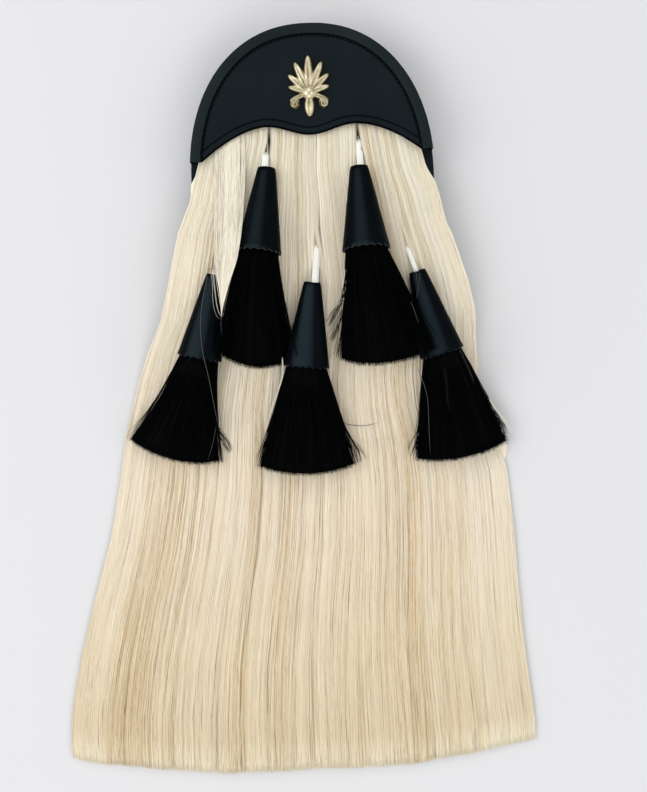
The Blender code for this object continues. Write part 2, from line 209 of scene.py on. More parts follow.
# %% The pouch's centre and its outline
CROWN_RISE = 0.1175
CROWN_POWER = 2.2
CORNER_Y = 0.0145
CORNER_LIFT = 0.0030
CORNER_X = 0.0845
LOBE_Y = 0.0322
ARCH_X = 0.034
ARCH_Y = 0.0395
ARCH_POWER = 1.7
ARCH_POWER_RIGHT = 1.85

back_low, back_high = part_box("back_panel")
HALF_WIDTH = (back_high[0] - back_low[0]) / 2
CENTRE = Vector(((back_low[0] + back_high[0]) / 2, back_high[1] - CROWN_RISE, 0))


def crown_point(angle, inset=0.0):
    """A point of the head's upper outline, at an angle from +X, moved inward by inset."""
    x = HALF_WIDTH * math.copysign(abs(math.cos(angle)) ** (2 / CROWN_POWER), math.cos(angle))
    y = CROWN_RISE * max(math.sin(angle), 0.0) ** (2 / CROWN_POWER)
    slope = CROWN_POWER - 1
    outward = Vector((
        math.copysign(abs(x / HALF_WIDTH) ** slope / HALF_WIDTH, x),
        (y / CROWN_RISE) ** slope / CROWN_RISE,
    ))
    flat = Vector((x, y)) - outward.normalized() * inset
    return Vector((CENTRE.x + flat.x, CENTRE.y + flat.y, 0))


def angle_at_height(y):
    """The angle at which the head's outline is y above the pouch's centre."""
    return math.asin((y / CROWN_RISE) ** (CROWN_POWER / 2))


def wavy_edge_y(x):
    """The flap's lower edge, counted from the pouch's centre."""
    reach = abs(x)
    if reach <= ARCH_X:
        return LOBE_Y + (ARCH_Y - LOBE_Y) * (1 - math.cos(math.pi * reach / ARCH_X)) / 2
    share = (reach - ARCH_X) / (CORNER_X - ARCH_X)
    if x > 0:
        return ARCH_Y - (ARCH_Y - CORNER_Y - CORNER_LIFT) * share**ARCH_POWER_RIGHT
    return ARCH_Y - (ARCH_Y - CORNER_Y) * share**ARCH_POWER


print("pouch centre:", tuple(round(v, 5) for v in CENTRE), "half width:", round(HALF_WIDTH, 4))

# %% [markdown]
# ## Shared effects
#
# Three effects stand behind the finishes. Each is a shader group that is built once and that any
# finish can use. `leather_grain` gives the pebbled height of a hide and slow patches of wear.
# `rubbed_patches` gives uneven polish. `combed_streaks` gives fine lines that run along a lock of
# hair; it reads the piece's own UV map, whose U runs across the hair and whose V runs down it.

# %% Helpers for shader nodes


def new_group(name, inputs, outputs):
    """A shader group with float inputs and float outputs, and its two end nodes."""
    tree = bpy.data.node_groups.new(name, "ShaderNodeTree")
    for label, value in inputs.items():
        made = tree.interface.new_socket(name=label, in_out="INPUT", socket_type="NodeSocketFloat")
        made.default_value = value
    for label in outputs:
        tree.interface.new_socket(name=label, in_out="OUTPUT", socket_type="NodeSocketFloat")
    return tree, tree.nodes.new("NodeGroupInput"), tree.nodes.new("NodeGroupOutput")


def feed(tree, value, socket):
    """Gives a socket its value: another node's output, or a plain number or colour."""
    if isinstance(value, bpy.types.NodeSocket):
        tree.links.new(value, socket)
    else:
        socket.default_value = value


def math_node(tree, operation, first, second):
    """A Math node whose inputs are sockets or plain numbers."""
    made = tree.nodes.new("ShaderNodeMath")
    made.operation = operation
    feed(tree, first, made.inputs[0])
    feed(tree, second, made.inputs[1])
    return made.outputs[0]


def times_plus(tree, value, factor, more):
    """A value, scaled by a factor, and something added to it."""
    return math_node(tree, "ADD", math_node(tree, "MULTIPLY", value, factor), more)


def spread(tree, value, low=0.3, high=0.7):
    """Stretches the part of a 0 to 1 value between low and high back to 0 to 1."""
    made = tree.nodes.new("ShaderNodeMapRange")
    tree.links.new(value, made.inputs["Value"])
    made.inputs["From Min"].default_value = low
    made.inputs["From Max"].default_value = high
    return made.outputs["Result"]


def noise(tree, vector, scale, detail=2.0, roughness=0.5):
    """Soft noise between 0 and 1; most of its values lie near the middle."""
    made = tree.nodes.new("ShaderNodeTexNoise")
    made.inputs["Detail"].default_value = detail
    made.inputs["Roughness"].default_value = roughness
    tree.links.new(vector, made.inputs["Vector"])
    feed(tree, scale, made.inputs["Scale"])
    return made.outputs["Fac"]


def stretched(tree, vector, across, along):
    """Scales a place, so that a pattern gets long in one direction."""
    made = tree.nodes.new("ShaderNodeMapping")
    made.inputs["Scale"].default_value = (across, along, 1.0)
    tree.links.new(vector, made.inputs["Vector"])
    return made.outputs["Vector"]


print("node helpers ready")

# %% Build the shared groups
PEBBLE_SMOOTH = 0.35
PEBBLE_RANDOM = 0.9
PEBBLE_SHARE = 0.6
CREASE_SCALE = 0.16
PATCH_SCALE = 26.0
SCRATCH_SCALE = 22.0
SCRATCH_SHARE = 0.3
HAIRS_ACROSS = 210.0
HAIRS_ALONG = 3.0


def build_leather_grain():
    """Small pebbles between fine creases, and broad soft patches."""
    tree, given, result = new_group("leather_grain", {"Scale": 900.0}, ("Height", "Patches"))
    place = tree.nodes.new("ShaderNodeTexCoord").outputs["Object"]
    cells = tree.nodes.new("ShaderNodeTexVoronoi")
    cells.feature = "SMOOTH_F1"
    cells.inputs["Smoothness"].default_value = PEBBLE_SMOOTH
    cells.inputs["Randomness"].default_value = PEBBLE_RANDOM
    tree.links.new(place, cells.inputs["Vector"])
    tree.links.new(given.outputs["Scale"], cells.inputs["Scale"])
    pebbles = math_node(tree, "SUBTRACT", 1.0, cells.outputs["Distance"])
    crease_scale = math_node(tree, "MULTIPLY", given.outputs["Scale"], CREASE_SCALE)
    creases = noise(tree, place, crease_scale, 4.0, 0.6)
    tree.links.new(times_plus(tree, pebbles, PEBBLE_SHARE, creases), result.inputs["Height"])
    tree.links.new(spread(tree, noise(tree, place, PATCH_SCALE, 3.0)), result.inputs["Patches"])
    return tree


def build_rubbed_patches():
    """Uneven polish: large soft patches broken up by small scratches."""
    tree, given, result = new_group("rubbed_patches", {"Scale": 40.0}, ("Rubbed",))
    place = tree.nodes.new("ShaderNodeTexCoord").outputs["Object"]
    broad = spread(tree, noise(tree, place, given.outputs["Scale"], 3.0), 0.35, 0.65)
    fine = noise(tree, place, math_node(tree, "MULTIPLY", given.outputs["Scale"], SCRATCH_SCALE))
    fine = math_node(tree, "MULTIPLY", fine, SCRATCH_SHARE)
    tree.links.new(times_plus(tree, broad, 1 - SCRATCH_SHARE, fine), result.inputs["Rubbed"])
    return tree


def build_combed_streaks():
    """Lines along the hair, as fine as a few hairs."""
    tree, _, result = new_group("combed_streaks", {}, ("Streaks",))
    uv = tree.nodes.new("ShaderNodeTexCoord").outputs["UV"]
    lines = noise(tree, stretched(tree, uv, HAIRS_ACROSS, HAIRS_ALONG), 1.0, 2.0, 0.7)
    tree.links.new(spread(tree, lines), result.inputs["Streaks"])
    return tree


groups = {
    "leather_grain": build_leather_grain(),
    "rubbed_patches": build_rubbed_patches(),
    "combed_streaks": build_combed_streaks(),
}
print("shader groups:", list(groups))

# %% [markdown]
# ## Finishes
#
# Each finish is a Principled shader with its own colours. Black leather isn't black paint: it is
# a very dark blue-green grey with a dull shine, and the shine varies more than the colour does.
# Cast brass is bright on the high places and dull in the hollows. Each hair carries numbers of
# its own, `tint`, `down` and `shade`, because a real fall of hair is a mixture of ivory, cream
# and tan hairs that gets warmer towards the hem, and the shade that falls where it parts is
# painted into its colour.

# %% Helpers for finishes
Finish = namedtuple("Finish", "material tree shader")


def new_finish(name, roughness, metallic=0.0, specular=0.5):
    """A material with its Principled shader, which the finish's own nodes are linked to."""
    made = bpy.data.materials.new(name)
    made.use_nodes = True
    shader = made.node_tree.nodes["Principled BSDF"]
    shader.inputs["Roughness"].default_value = roughness
    shader.inputs["Metallic"].default_value = metallic
    shader.inputs["Specular IOR Level"].default_value = specular
    return Finish(made, made.node_tree, shader)


def use_group(tree, name, **inputs):
    """The outputs of a shared effect, with its inputs set."""
    made = tree.nodes.new("ShaderNodeGroup")
    made.node_tree = groups[name]
    for label, value in inputs.items():
        made.inputs[label].default_value = value
    return made.outputs


def colours_between(tree, value, stops):
    """A colour ramp through (position, colour) stops, given in rising order."""
    ramp = tree.nodes.new("ShaderNodeValToRGB")
    made = ramp.color_ramp.elements
    made[0].position, made[1].position = stops[0][0], stops[-1][0]
    for position, _ in stops[1:-1]:
        made.new(position)
    for stop, (_, colour) in zip(made, stops):
        stop.color = (*colour, 1.0)
    tree.links.new(value, ramp.inputs["Fac"])
    return ramp.outputs["Color"]


def mix_colours(tree, share, first, second, blend="MIX"):
    """Mixes two colours, each a socket or a plain triple."""
    made = tree.nodes.new("ShaderNodeMix")
    made.data_type = "RGBA"
    made.blend_type = blend
    feed(tree, share, made.inputs["Factor"])
    for label, value in (("A", first), ("B", second)):
        socket = next(s for s in made.inputs if s.name == label and s.type == "RGBA")
        feed(tree, (*value, 1.0) if isinstance(value, tuple) else value, socket)
    return next(s for s in made.outputs if s.type == "RGBA")


def add_bump(finish, height, distance):
    """Makes a finish uneven; distance is the depth in metres for a height from 0 to 1."""
    bump = finish.tree.nodes.new("ShaderNodeBump")
    bump.inputs["Distance"].default_value = distance
    finish.tree.links.new(height, bump.inputs["Height"])
    finish.tree.links.new(bump.outputs["Normal"], finish.shader.inputs["Normal"])


def own_number(tree, name):
    """Reads a number that the piece's mesh carries at each vertex."""
    made = tree.nodes.new("ShaderNodeAttribute")
    made.attribute_name = name
    return made.outputs["Fac"]


print("finish helpers ready")

# %% Black leather
HIDE_SHINE = 0.07
HIDE_WEAR_SCALE = 34.0
HIDE_DULLED = 0.14
# Painted highlight on rolled leather: faces turned this way, up and a little to the left, get a paler colour,
# as the light's sheen would give them.
SHEEN_PAINT_WAY = (-0.19, 0.0, 0.982)
SHEEN_PAINT_RANGE = (0.905, 0.99)


def black_leather(name, dark, light, roughness, grain, depth, shine=HIDE_SHINE, painted_sheen=None):
    """Dyed hide: its tone and shine drift between two values over the surface. A rolled piece can
    get a painted highlight: its colour turns paler where its face looks up and a little to the
    left, as the sheen of the light falls along its top."""
    finish = new_finish(name, roughness, specular=shine)
    tree = finish.tree
    hide = use_group(tree, "leather_grain", Scale=grain)
    worn = use_group(tree, "rubbed_patches", Scale=HIDE_WEAR_SCALE)
    tone = colours_between(tree, hide["Patches"], [(0.0, dark), (1.0, light)])
    # Painted highlight: a paler colour where the normal faces up and a little to the left, for the sheen of
    # the light along a cone's top.
    if painted_sheen:
        facing = tree.nodes.new("ShaderNodeVectorMath")
        facing.operation = "DOT_PRODUCT"
        facing.inputs[1].default_value = SHEEN_PAINT_WAY
        tree.links.new(tree.nodes.new("ShaderNodeNewGeometry").outputs["Normal"], facing.inputs[0])
        tone = mix_colours(tree, spread(tree, facing.outputs["Value"], *SHEEN_PAINT_RANGE), tone, painted_sheen)
    tree.links.new(tone, finish.shader.inputs["Base Color"])
    dull = times_plus(tree, worn["Rubbed"], HIDE_DULLED, roughness)
    tree.links.new(dull, finish.shader.inputs["Roughness"])
    add_bump(finish, hide["Height"], depth)
    return finish.material


print("black leather ready")

# %% Leather and thread finishes
THONG_TONES = [(0.0, (0.80, 0.79, 0.74)), (1.0, (0.93, 0.93, 0.90))]
THREAD_TONES = [(0.2, (0.0006, 0.0008, 0.001)), (0.9, (0.002, 0.003, 0.004))]


def white_leather(name):
    """Tawed thong leather: nearly white, with faint creases across it."""
    finish = new_finish(name, roughness=0.5, specular=0.4)
    tree = finish.tree
    hide = use_group(tree, "leather_grain", Scale=1500.0)
    tone = colours_between(tree, hide["Patches"], THONG_TONES)
    tree.links.new(tone, finish.shader.inputs["Base Color"])
    add_bump(finish, hide["Height"], 0.00012)
    return finish.material


def waxed_thread(name):
    """Black stitching thread with the ridges of its twist."""
    finish = new_finish(name, roughness=0.5, specular=0.05)
    tree = finish.tree
    worn = use_group(tree, "rubbed_patches", Scale=300.0)
    tone = colours_between(tree, worn["Rubbed"], THREAD_TONES)
    tree.links.new(tone, finish.shader.inputs["Base Color"])
    add_bump(finish, worn["Rubbed"], 0.0001)
    return finish.material


# The finish of each material slot, and of the edges and threads, which are no slots of their own.
finishes = {
    "head_leather": black_leather(
        "head_leather", dark=(0.0032, 0.0066, 0.0090), light=(0.0050, 0.0092, 0.0120),
        roughness=0.40, grain=1100.0, depth=0.00005),
    # The rim's leather is a lighter copy of the head's: painted light for the band's lit outer slope.
    "rim_leather": black_leather(
        "rim_leather", dark=(0.0062, 0.0112, 0.0126), light=(0.0094, 0.0152, 0.0168),
        roughness=0.38, grain=1400.0, depth=0.00004),
    # The cones carry a painted highlight along their tops, in their colour.
    "tassel_leather": black_leather(
        "tassel_leather", dark=(0.0005, 0.0016, 0.0026), light=(0.0011, 0.0028, 0.0040),
        roughness=0.34, grain=1500.0, depth=0.00004, shine=0.03, painted_sheen=(0.0098, 0.0172, 0.0212)),
    # Near-black edges: partly edge dye, partly painted shade along the flap's edge and on the rim's wall.
    "edge_dye_and_shade": black_leather(
        "dyed_leather_edge", dark=(0.0004, 0.0007, 0.0010), light=(0.0008, 0.0013, 0.0016),
        roughness=0.6, grain=1500.0, depth=0.00004, shine=0.012),
    "cut_edge": black_leather(
        "cut_leather_edge", dark=(0.034, 0.035, 0.042), light=(0.070, 0.072, 0.082),
        roughness=0.6, grain=2200.0, depth=0.00008),
    "thong_leather": white_leather("thong_leather"),
    "thread": waxed_thread("waxed_thread"),
}
print("leather finishes:", list(finishes))

# %% Brass finish
BRASS_TONES = [(0.25, (0.030, 0.022, 0.010)), (0.62, (0.26, 0.21, 0.12)), (1.0, (0.62, 0.56, 0.39))]
BRASS_WEAR = 0.35
BRASS_DULL = 0.62
BRASS_POLISH = 0.30


def cast_brass(name):
    """Pale brass that is brightened on its high places and dull in its hollows."""
    finish = new_finish(name, roughness=0.3, metallic=1.0)
    tree = finish.tree
    worn = use_group(tree, "rubbed_patches", Scale=260.0)
    polish = times_plus(tree, worn["Rubbed"], BRASS_WEAR, own_number(tree, "high"))
    tone = colours_between(tree, polish, BRASS_TONES)
    tree.links.new(tone, finish.shader.inputs["Base Color"])
    brightened = math_node(tree, "MULTIPLY", polish, BRASS_POLISH)
    dull = math_node(tree, "SUBTRACT", BRASS_DULL, brightened)
    tree.links.new(dull, finish.shader.inputs["Roughness"])
    add_bump(finish, worn["Rubbed"], 0.00008)
    return finish.material


finishes["badge_metal"] = cast_brass("badge_brass")
print("brass finish:", finishes["badge_metal"].name)

# %% Hair finishes
HAIR_SHINE = 0.35
STREAK_CHANGE = 0.22
FLECKS_ACROSS = 900.0
FLECKS_ALONG = 120.0
FLECK_CHANGE = 0.55
TINT_TONES = [
    (0.08, (0.56, 0.42, 0.25)), (0.30, (0.78, 0.68, 0.51)), (0.55, (0.89, 0.83, 0.69)),
    (0.80, (0.93, 0.89, 0.78)), (1.0, (0.97, 0.95, 0.88)),
]
# The hair turns warmer down the fall; the last stop lightens the tips at the cut hem, partly for lighter hair
# ends and partly as painted light against the shade along the hem.
DOWN_TONES = [
    (0.0, (0.96, 0.94, 0.88)), (0.60, (0.89, 0.82, 0.73)), (0.80, (0.83, 0.75, 0.62)),
    (0.955, (0.77, 0.685, 0.545)), (1.0, (0.93, 0.88, 0.76)),
]
# Colour of the painted shade inside a parting.
PARTING_SHADE_TONE = (0.010, 0.006, 0.003)
# Brush hairs differ in tone at random, and the paler among them, up to a tint of about 0.9, are painted
# glints for the sheen along black hair; the highest tints are grey hairs.
BLACK_HAIR_TONES = [
    (0.0, (0.0001, 0.0003, 0.0003)), (0.80, (0.0010, 0.0014, 0.0013)),
    (0.92, (0.006, 0.0065, 0.0065)), (1.0, (0.16, 0.16, 0.16)),
]


def white_hair(name):
    """Ivory, cream and tan hairs, warmer towards the hem, with painted shade and less shine inside a
    parting. Short flecks break up the long lines, because a hair is seldom on top for more than a
    finger's width."""
    finish = new_finish(name, roughness=0.42, specular=HAIR_SHINE)
    tree = finish.tree
    streaks = use_group(tree, "combed_streaks")["Streaks"]
    tint = times_plus(tree, streaks, STREAK_CHANGE, own_number(tree, "tint"))
    place = tree.nodes.new("ShaderNodeTexCoord").outputs["Object"]
    flecks = noise(tree, stretched(tree, place, FLECKS_ACROSS, FLECKS_ALONG), 1.0)
    tint = times_plus(tree, math_node(tree, "SUBTRACT", flecks, 0.5), FLECK_CHANGE, tint)
    pale = colours_between(tree, tint, TINT_TONES)
    warm = colours_between(tree, own_number(tree, "down"), DOWN_TONES)
    tone = mix_colours(tree, 1.0, pale, warm, "MULTIPLY")
    # Painted shade: `shade` darkens the colour inside a parting and takes its shine away.
    shade = own_number(tree, "shade")
    tone = mix_colours(tree, shade, tone, PARTING_SHADE_TONE)
    tree.links.new(tone, finish.shader.inputs["Base Color"])
    shine = math_node(tree, "MULTIPLY", math_node(tree, "SUBTRACT", 1.0, shade), HAIR_SHINE)
    tree.links.new(shine, finish.shader.inputs["Specular IOR Level"])
    return finish.material


def black_hair(name):
    """Nearly black hairs; the paler ones in a brush are painted glints for the sheen on black hair,
    and only the few with the highest tints are grey.
    """
    finish = new_finish(name, roughness=0.5, specular=0.022)
    tone = colours_between(finish.tree, own_number(finish.tree, "tint"), BLACK_HAIR_TONES)
    finish.tree.links.new(tone, finish.shader.inputs["Base Color"])
    return finish.material


finishes["white_hair"] = white_hair("white_horsehair")
finishes["black_hair"] = black_hair("black_horsehair")
print("finishes:", len(finishes))

# %% [markdown]
# ## The leather body
#
# The back panel, the gusset, the front panel and the two strap loops are flat or bent sheets
# whose shape is already right in the solid model. They keep that shape and only get the
# leather finish.

# %% Finish the carried-over sheets
KEPT_SHEETS = ("back_panel", "gusset", "front_panel", "strap_loop_left", "strap_loop_right")

for name in KEPT_SHEETS:
    sheet = nodes[name].data
    sheet.materials.clear()
    sheet.materials.append(finishes["head_leather"])
print("sheets finished:", len(KEPT_SHEETS))

# %% [markdown]
# ## The flap
#
# The flap is one sheet of thick hide. Its lower edge is cut in a wave, turned and creased: a
# pressed line follows the edge about 6 mm inside it. The sheet starts as a flat grid whose rows
# are laid between the wavy edge and the crown. The first rows keep an even distance from the
# edge, and the fourth of them goes down to make the crease. The grid's copy, extruded downwards,
# gives the thickness, and a bevel rounds the cut edge.

# %% Helpers for pieces


def finish_piece(piece, slot, *replaced, finish=None):
    """Gives a piece its slot's finish or another, lets it ride on the body and hides the solid
    pieces that it stands for."""
    piece.data.materials.append(finishes[finish or slot])
    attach(piece, "root")
    if replaced:
        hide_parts(*replaced)
    return piece


def smooth_piece(piece, sharp_degrees):
    """Smooth shading, broken where faces meet at more than an angle."""
    piece.data.shade_smooth()
    piece.data.set_sharp_from_angle(angle=math.radians(sharp_degrees))


def rounded_edges(piece, width, segments, angle, slot=-1):
    """A bevel on edges sharper than an angle; slot gives its faces a material of the piece."""
    bevel = piece.modifiers.new("rounded_edges", "BEVEL")
    bevel.width = width
    bevel.segments = segments
    bevel.limit_method = "ANGLE"
    bevel.angle_limit = math.radians(angle)
    bevel.material = slot


print("piece helpers ready")

# %% Helpers for bent shapes


def bend(shape, place):
    """Moves every vertex of a straight shape to where place puts it, which may turn it inside
    out, so the faces are then turned outward again."""
    for vertex in shape.verts:
        vertex.co = place(vertex.co)
    bmesh.ops.recalc_face_normals(shape, faces=shape.faces)


def only(kind, parts):
    """The vertices, edges or faces among the parts that an operator gives back."""
    return [part for part in parts if isinstance(part, kind)]


def swept(section, steps, corner):
    """A closed section of (x, z) points, rounded at its corners and drawn along +Y in steps."""
    shape = bmesh.new()
    shape.faces.new([shape.verts.new((x, 0, z)) for x, z in section])
    bmesh.ops.bevel(shape, geom=shape.verts[:], offset=corner, offset_type="OFFSET", segments=3,
                    profile=0.5, affect="VERTICES", material=-1, clamp_overlap=True)
    end = shape.faces[:]
    for _ in range(steps):
        drawn = bmesh.ops.extrude_face_region(shape, geom=end)["geom"]
        bmesh.ops.translate(shape, vec=(0, 1, 0), verts=only(BMVert, drawn))
        end = only(BMFace, drawn)
    bmesh.ops.recalc_face_normals(shape, faces=shape.faces)
    return shape


def straight_tube(sides, rings, capped):
    """A tube of radius 1 and length 1 about Z, cut into rings."""
    shape = bmesh.new()
    bmesh.ops.create_cone(shape, segments=sides, radius1=1.0, radius2=1.0, depth=1.0, cap_ends=capped)
    lengthwise = [e for e in shape.edges if abs(e.verts[0].co.z - e.verts[1].co.z) > 0.5]
    bmesh.ops.subdivide_edges(shape, edges=lengthwise, cuts=rings)
    return shape


def give_number(mesh, name, values):
    """Stores a number at each vertex, which a finish reads with own_number."""
    made = mesh.attributes.new(name, "FLOAT", "POINT")
    made.data.foreach_set("value", np.asarray(values, np.float32))


print("bent shape helpers ready")

# %% Flap panel
FLAP_INSET = 0.0023
CREASE_INSET = 0.0056
CREASE_HALF = 0.0008
CREASE_DEPTH = 0.0011
FLAP_COLUMNS = 132
FLAP_ROWS = 18
FLAP_SWELL = 0.00025
FLAP_SIDE_Y = 0.023
FLAP_ROUNDING = 0.0009
EDGE_FLARE = 0.0058
SLOPE_STEP = 0.0005
EDGE_BAND = 0.0013
EDGE_ROWS = (0.0, EDGE_BAND, CREASE_INSET - CREASE_HALF, CREASE_INSET, CREASE_INSET + CREASE_HALF)
CREASE_ROW = 3
flap_low, flap_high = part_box("flap_panel")


def wavy_line(across, inside):
    """A point of the line that runs inside the wavy edge; across goes from -1 to 1."""
    reach = CORNER_X + EDGE_FLARE * min(inside / CREASE_INSET, 1.0)
    x = across * reach
    slope = (wavy_edge_y(x + SLOPE_STEP) - wavy_edge_y(x - SLOPE_STEP)) / (2 * SLOPE_STEP)
    return Vector((CENTRE.x + x, CENTRE.y + wavy_edge_y(x) + inside * math.hypot(1, slope), 0))


def make_flap():
    shape = bmesh.new()
    bmesh.ops.create_grid(shape, x_segments=FLAP_COLUMNS, y_segments=FLAP_ROWS, size=1.0)
    side_angle = angle_at_height(FLAP_SIDE_Y)

    def place(co):
        row = round((co.y + 1) / 2 * FLAP_ROWS)
        if row < len(EDGE_ROWS):
            point = wavy_line(co.x, EDGE_ROWS[row])
            point.z = -CREASE_DEPTH if row == CREASE_ROW else 0.0
        else:
            share = (row - len(EDGE_ROWS) + 1) / (FLAP_ROWS - len(EDGE_ROWS) + 1)
            crown = crown_point(math.pi / 2 - co.x * (math.pi / 2 - side_angle), FLAP_INSET)
            point = wavy_line(co.x, EDGE_ROWS[-1]).lerp(crown, share)
            swell = 0.5 + 0.5 * math.sin(7 * co.x + 2 * share)
            point.z = -FLAP_SWELL * swell * math.sin(math.pi * share)
        point.z += flap_high[2]
        return point

    # Painted shade: the outermost row of the top and the bevel take the near-black edge finish, partly edge
    # dye and partly the contact shadow where the flap's edge meets the hair.
    for face in shape.faces:
        face.material_index = int(face.calc_center_median().y < -1 + 2 / FLAP_ROWS)
    bend(shape, place)
    drawn = bmesh.ops.extrude_face_region(shape, geom=shape.faces[:])["geom"]
    for vertex in only(BMVert, drawn):
        vertex.co.z = flap_low[2]
    bmesh.ops.recalc_face_normals(shape, faces=shape.faces)
    flap = add_mesh_object("flap_leather", shape)
    rounded_edges(flap, FLAP_ROUNDING, segments=3, angle=70, slot=1)
    smooth_piece(flap, 40)
    finish_piece(flap, "head_leather", "flap_panel")
    flap.data.materials.append(finishes["edge_dye_and_shade"])
    return flap


flap = make_flap()
print("flap faces:", len(flap.data.polygons))

# %% [markdown]
# ## The rim band
#
# A second strip of hide is bent over the flap's edge. Over the crown it runs down to the back
# panel and is the hinge. It is one section drawn along the outline: a wall on the outside and
# a lip on top, with rounded corners. The section is swept straight first and bent afterwards,
# which keeps its points in step all the way round. Cut and turned edges are near black, here and
# on the flap: partly the dye of the edge, and partly painted shade, for the contact shadow along
# the flap's edge and the shade on the rim's outer wall.

# %% Rim band
RIM_WIDTH = 0.0082
RIM_WALL = 0.0020
RIM_CORNER = 0.0007
RIM_STEPS = 150
HINGE_START = math.radians(35)
rim_low, rim_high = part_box("rim_band")
LIP_LOW = flap_high[2] + 0.0003
LIP_CROWN = 0.0003
EDGE_SLOPE = 0.75
WALL_END_BAND = 0.001
WALL_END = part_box("front_panel")[1][2] + 0.0003


def make_rim():
    first = angle_at_height(CORNER_Y + CORNER_LIFT)
    last = math.pi - angle_at_height(CORNER_Y)
    top = rim_high[2]
    section = [(0.0, WALL_END), (RIM_WALL, WALL_END), (RIM_WALL, LIP_LOW), (RIM_WIDTH, LIP_LOW),
               (RIM_WIDTH, top - LIP_CROWN), (RIM_WIDTH / 2, top), (0.0, top - LIP_CROWN)]
    shape = swept(section, RIM_STEPS, RIM_CORNER)

    def place(co):
        angle = first + (last - first) * co.y / RIM_STEPS
        point = crown_point(angle, co.x)
        over_hinge = HINGE_START < angle < math.pi - HINGE_START
        low_end = co.z < WALL_END + WALL_END_BAND and over_hinge
        return Vector((point.x, point.y, co.z - WALL_END + rim_low[2] if low_end else co.z))

    bend(shape, place)
    rim = add_mesh_object("rim_leather", shape)
    smooth_piece(rim, 50)
    finish_piece(rim, "rim_leather", "rim_band")
    rim.data.materials.append(finishes["edge_dye_and_shade"])
    # Steep faces, the outer wall and its rounded corners, take the near-black edge finish: partly edge dye,
    # partly painted shade on the wall.
    for face in rim.data.polygons:
        face.material_index = int(abs(face.normal.z) < EDGE_SLOPE)
    return rim


rim = make_rim()
print("rim faces:", len(rim.data.polygons))

# %% [markdown]
# ## Stitches
#
# A saddler sews the lip down with waxed thread, about seven stitches to 25 mm. Each stitch is a
# small pillow-shaped bead that lies along the seam, so a low sphere stretched in one direction
# is enough.

# %% Stitch rows
STITCH_PITCH = 0.0035
SEAM_INSET = 0.0011
SEAM_START = 0.004
SEAM_POINTS = 400
STITCH_SIZE = (0.00150, 0.00085, 0.00055)
STITCH_SLANT = 0.12
STITCH_RISE = 0.0001


def stitch_row(name, path, z):
    """Beads at equal steps along a path of points, each turned along it."""
    shape = bmesh.new()
    points = [Vector((p.x, p.y)) for p in path]
    travelled = 0.0
    due = STITCH_PITCH / 2
    for first, second in zip(points, points[1:]):
        length = (second - first).length
        while travelled + length > due:
            spot = first.lerp(second, (due - travelled) / length)
            turn = math.atan2(second.y - first.y, second.x - first.x) + STITCH_SLANT
            matrix = (Matrix.Translation((*spot, z)) @ Matrix.Rotation(turn, 4, "Z")
                      @ Matrix.Diagonal((*STITCH_SIZE, 1.0)))
            bmesh.ops.create_icosphere(shape, subdivisions=2, radius=1.0, matrix=matrix)
            due += STITCH_PITCH
        travelled += length
    row = add_mesh_object(name, shape)
    row.data.shade_smooth()
    return finish_piece(row, "head_leather", finish="thread")


right_end = angle_at_height(CORNER_Y + CORNER_LIFT + SEAM_START)
left_end = math.pi - angle_at_height(CORNER_Y + SEAM_START)
seam = [crown_point(angle, RIM_WIDTH + SEAM_INSET)
        for angle in np.linspace(right_end, left_end, SEAM_POINTS)]
rim_stitches = stitch_row("rim_stitches", seam, flap_high[2] + STITCH_RISE)
print("stitch row faces:", len(rim_stitches.data.polygons))

# %% [markdown]
# ## The ornament
#
# The ornament is a generic palmette: seven leaves fan out of a boss, over two scrolls and a drop.
# Such a badge is cast in one piece, so its parts melt into each other. Here the leaves start as
# stretched spheres, each with a groove down its middle, and a fine voxel remesh joins them into
# one skin, as the mould does. The flat back is a cut through that skin, closed again.

# %% Helpers for the ornament
BADGE_CENTRE = (0.0, 0.0640)
BADGE_TURN = math.radians(-0.5)
BADGE_HIGH = 0.0036
BOSS_RADIUS = 0.0050
SCROLL_PLACE = (0.0112, -0.0085)
SCROLL_RADIUS = 0.0045
SCROLL_BEADS = 30
SCROLL_START = math.radians(-60)
SCROLL_SWEEP = math.radians(560)
ROLL_RADIUS = 0.00105
ROLL_THINS = 0.0002
GROOVE_DEPTH = 0.45
GROOVE_WIDTH = 0.22
TIP_CURL = 0.45
Leaf = namedtuple("Leaf", "turn length width")
LEAVES = [
    Leaf(0, 0.0290, 0.0078),
    Leaf(24, 0.0262, 0.0070),
    Leaf(48, 0.0214, 0.0064),
    Leaf(73, 0.0168, 0.0058),
]
STALK = Leaf(112, 0.0165, 0.0050)
DROP = Leaf(180, 0.0190, 0.0088)


def add_leaf(shape, turn, length, width, high=BADGE_HIGH):
    """A leaf that points along turn, widest past its middle, with a groove and a curled tip."""
    made = bmesh.ops.create_icosphere(shape, subdivisions=4, radius=1.0)["verts"]
    for vertex in made:
        x, y, z = vertex.co
        share = (y + 1) / 2
        belly = 0.72 + 0.5 * share - 0.28 * share**3
        dip = GROOVE_DEPTH * math.exp(-((x / GROOVE_WIDTH) ** 2)) * (1 - share**4)
        curl = 1 + TIP_CURL * share**6
        vertex.co = (x * belly * width / 2, share * length, z * high * (1 - dip) * curl)
    bmesh.ops.rotate(shape, matrix=Matrix.Rotation(-math.radians(turn), 3, "Z"), verts=made)


def add_bead(shape, place, radius, high):
    """A low sphere of the casting, at a place on its floor."""
    matrix = Matrix.Translation((*place, 0)) @ Matrix.Diagonal((radius, radius, high, 1))
    bmesh.ops.create_icosphere(shape, subdivisions=3, radius=1.0, matrix=matrix)


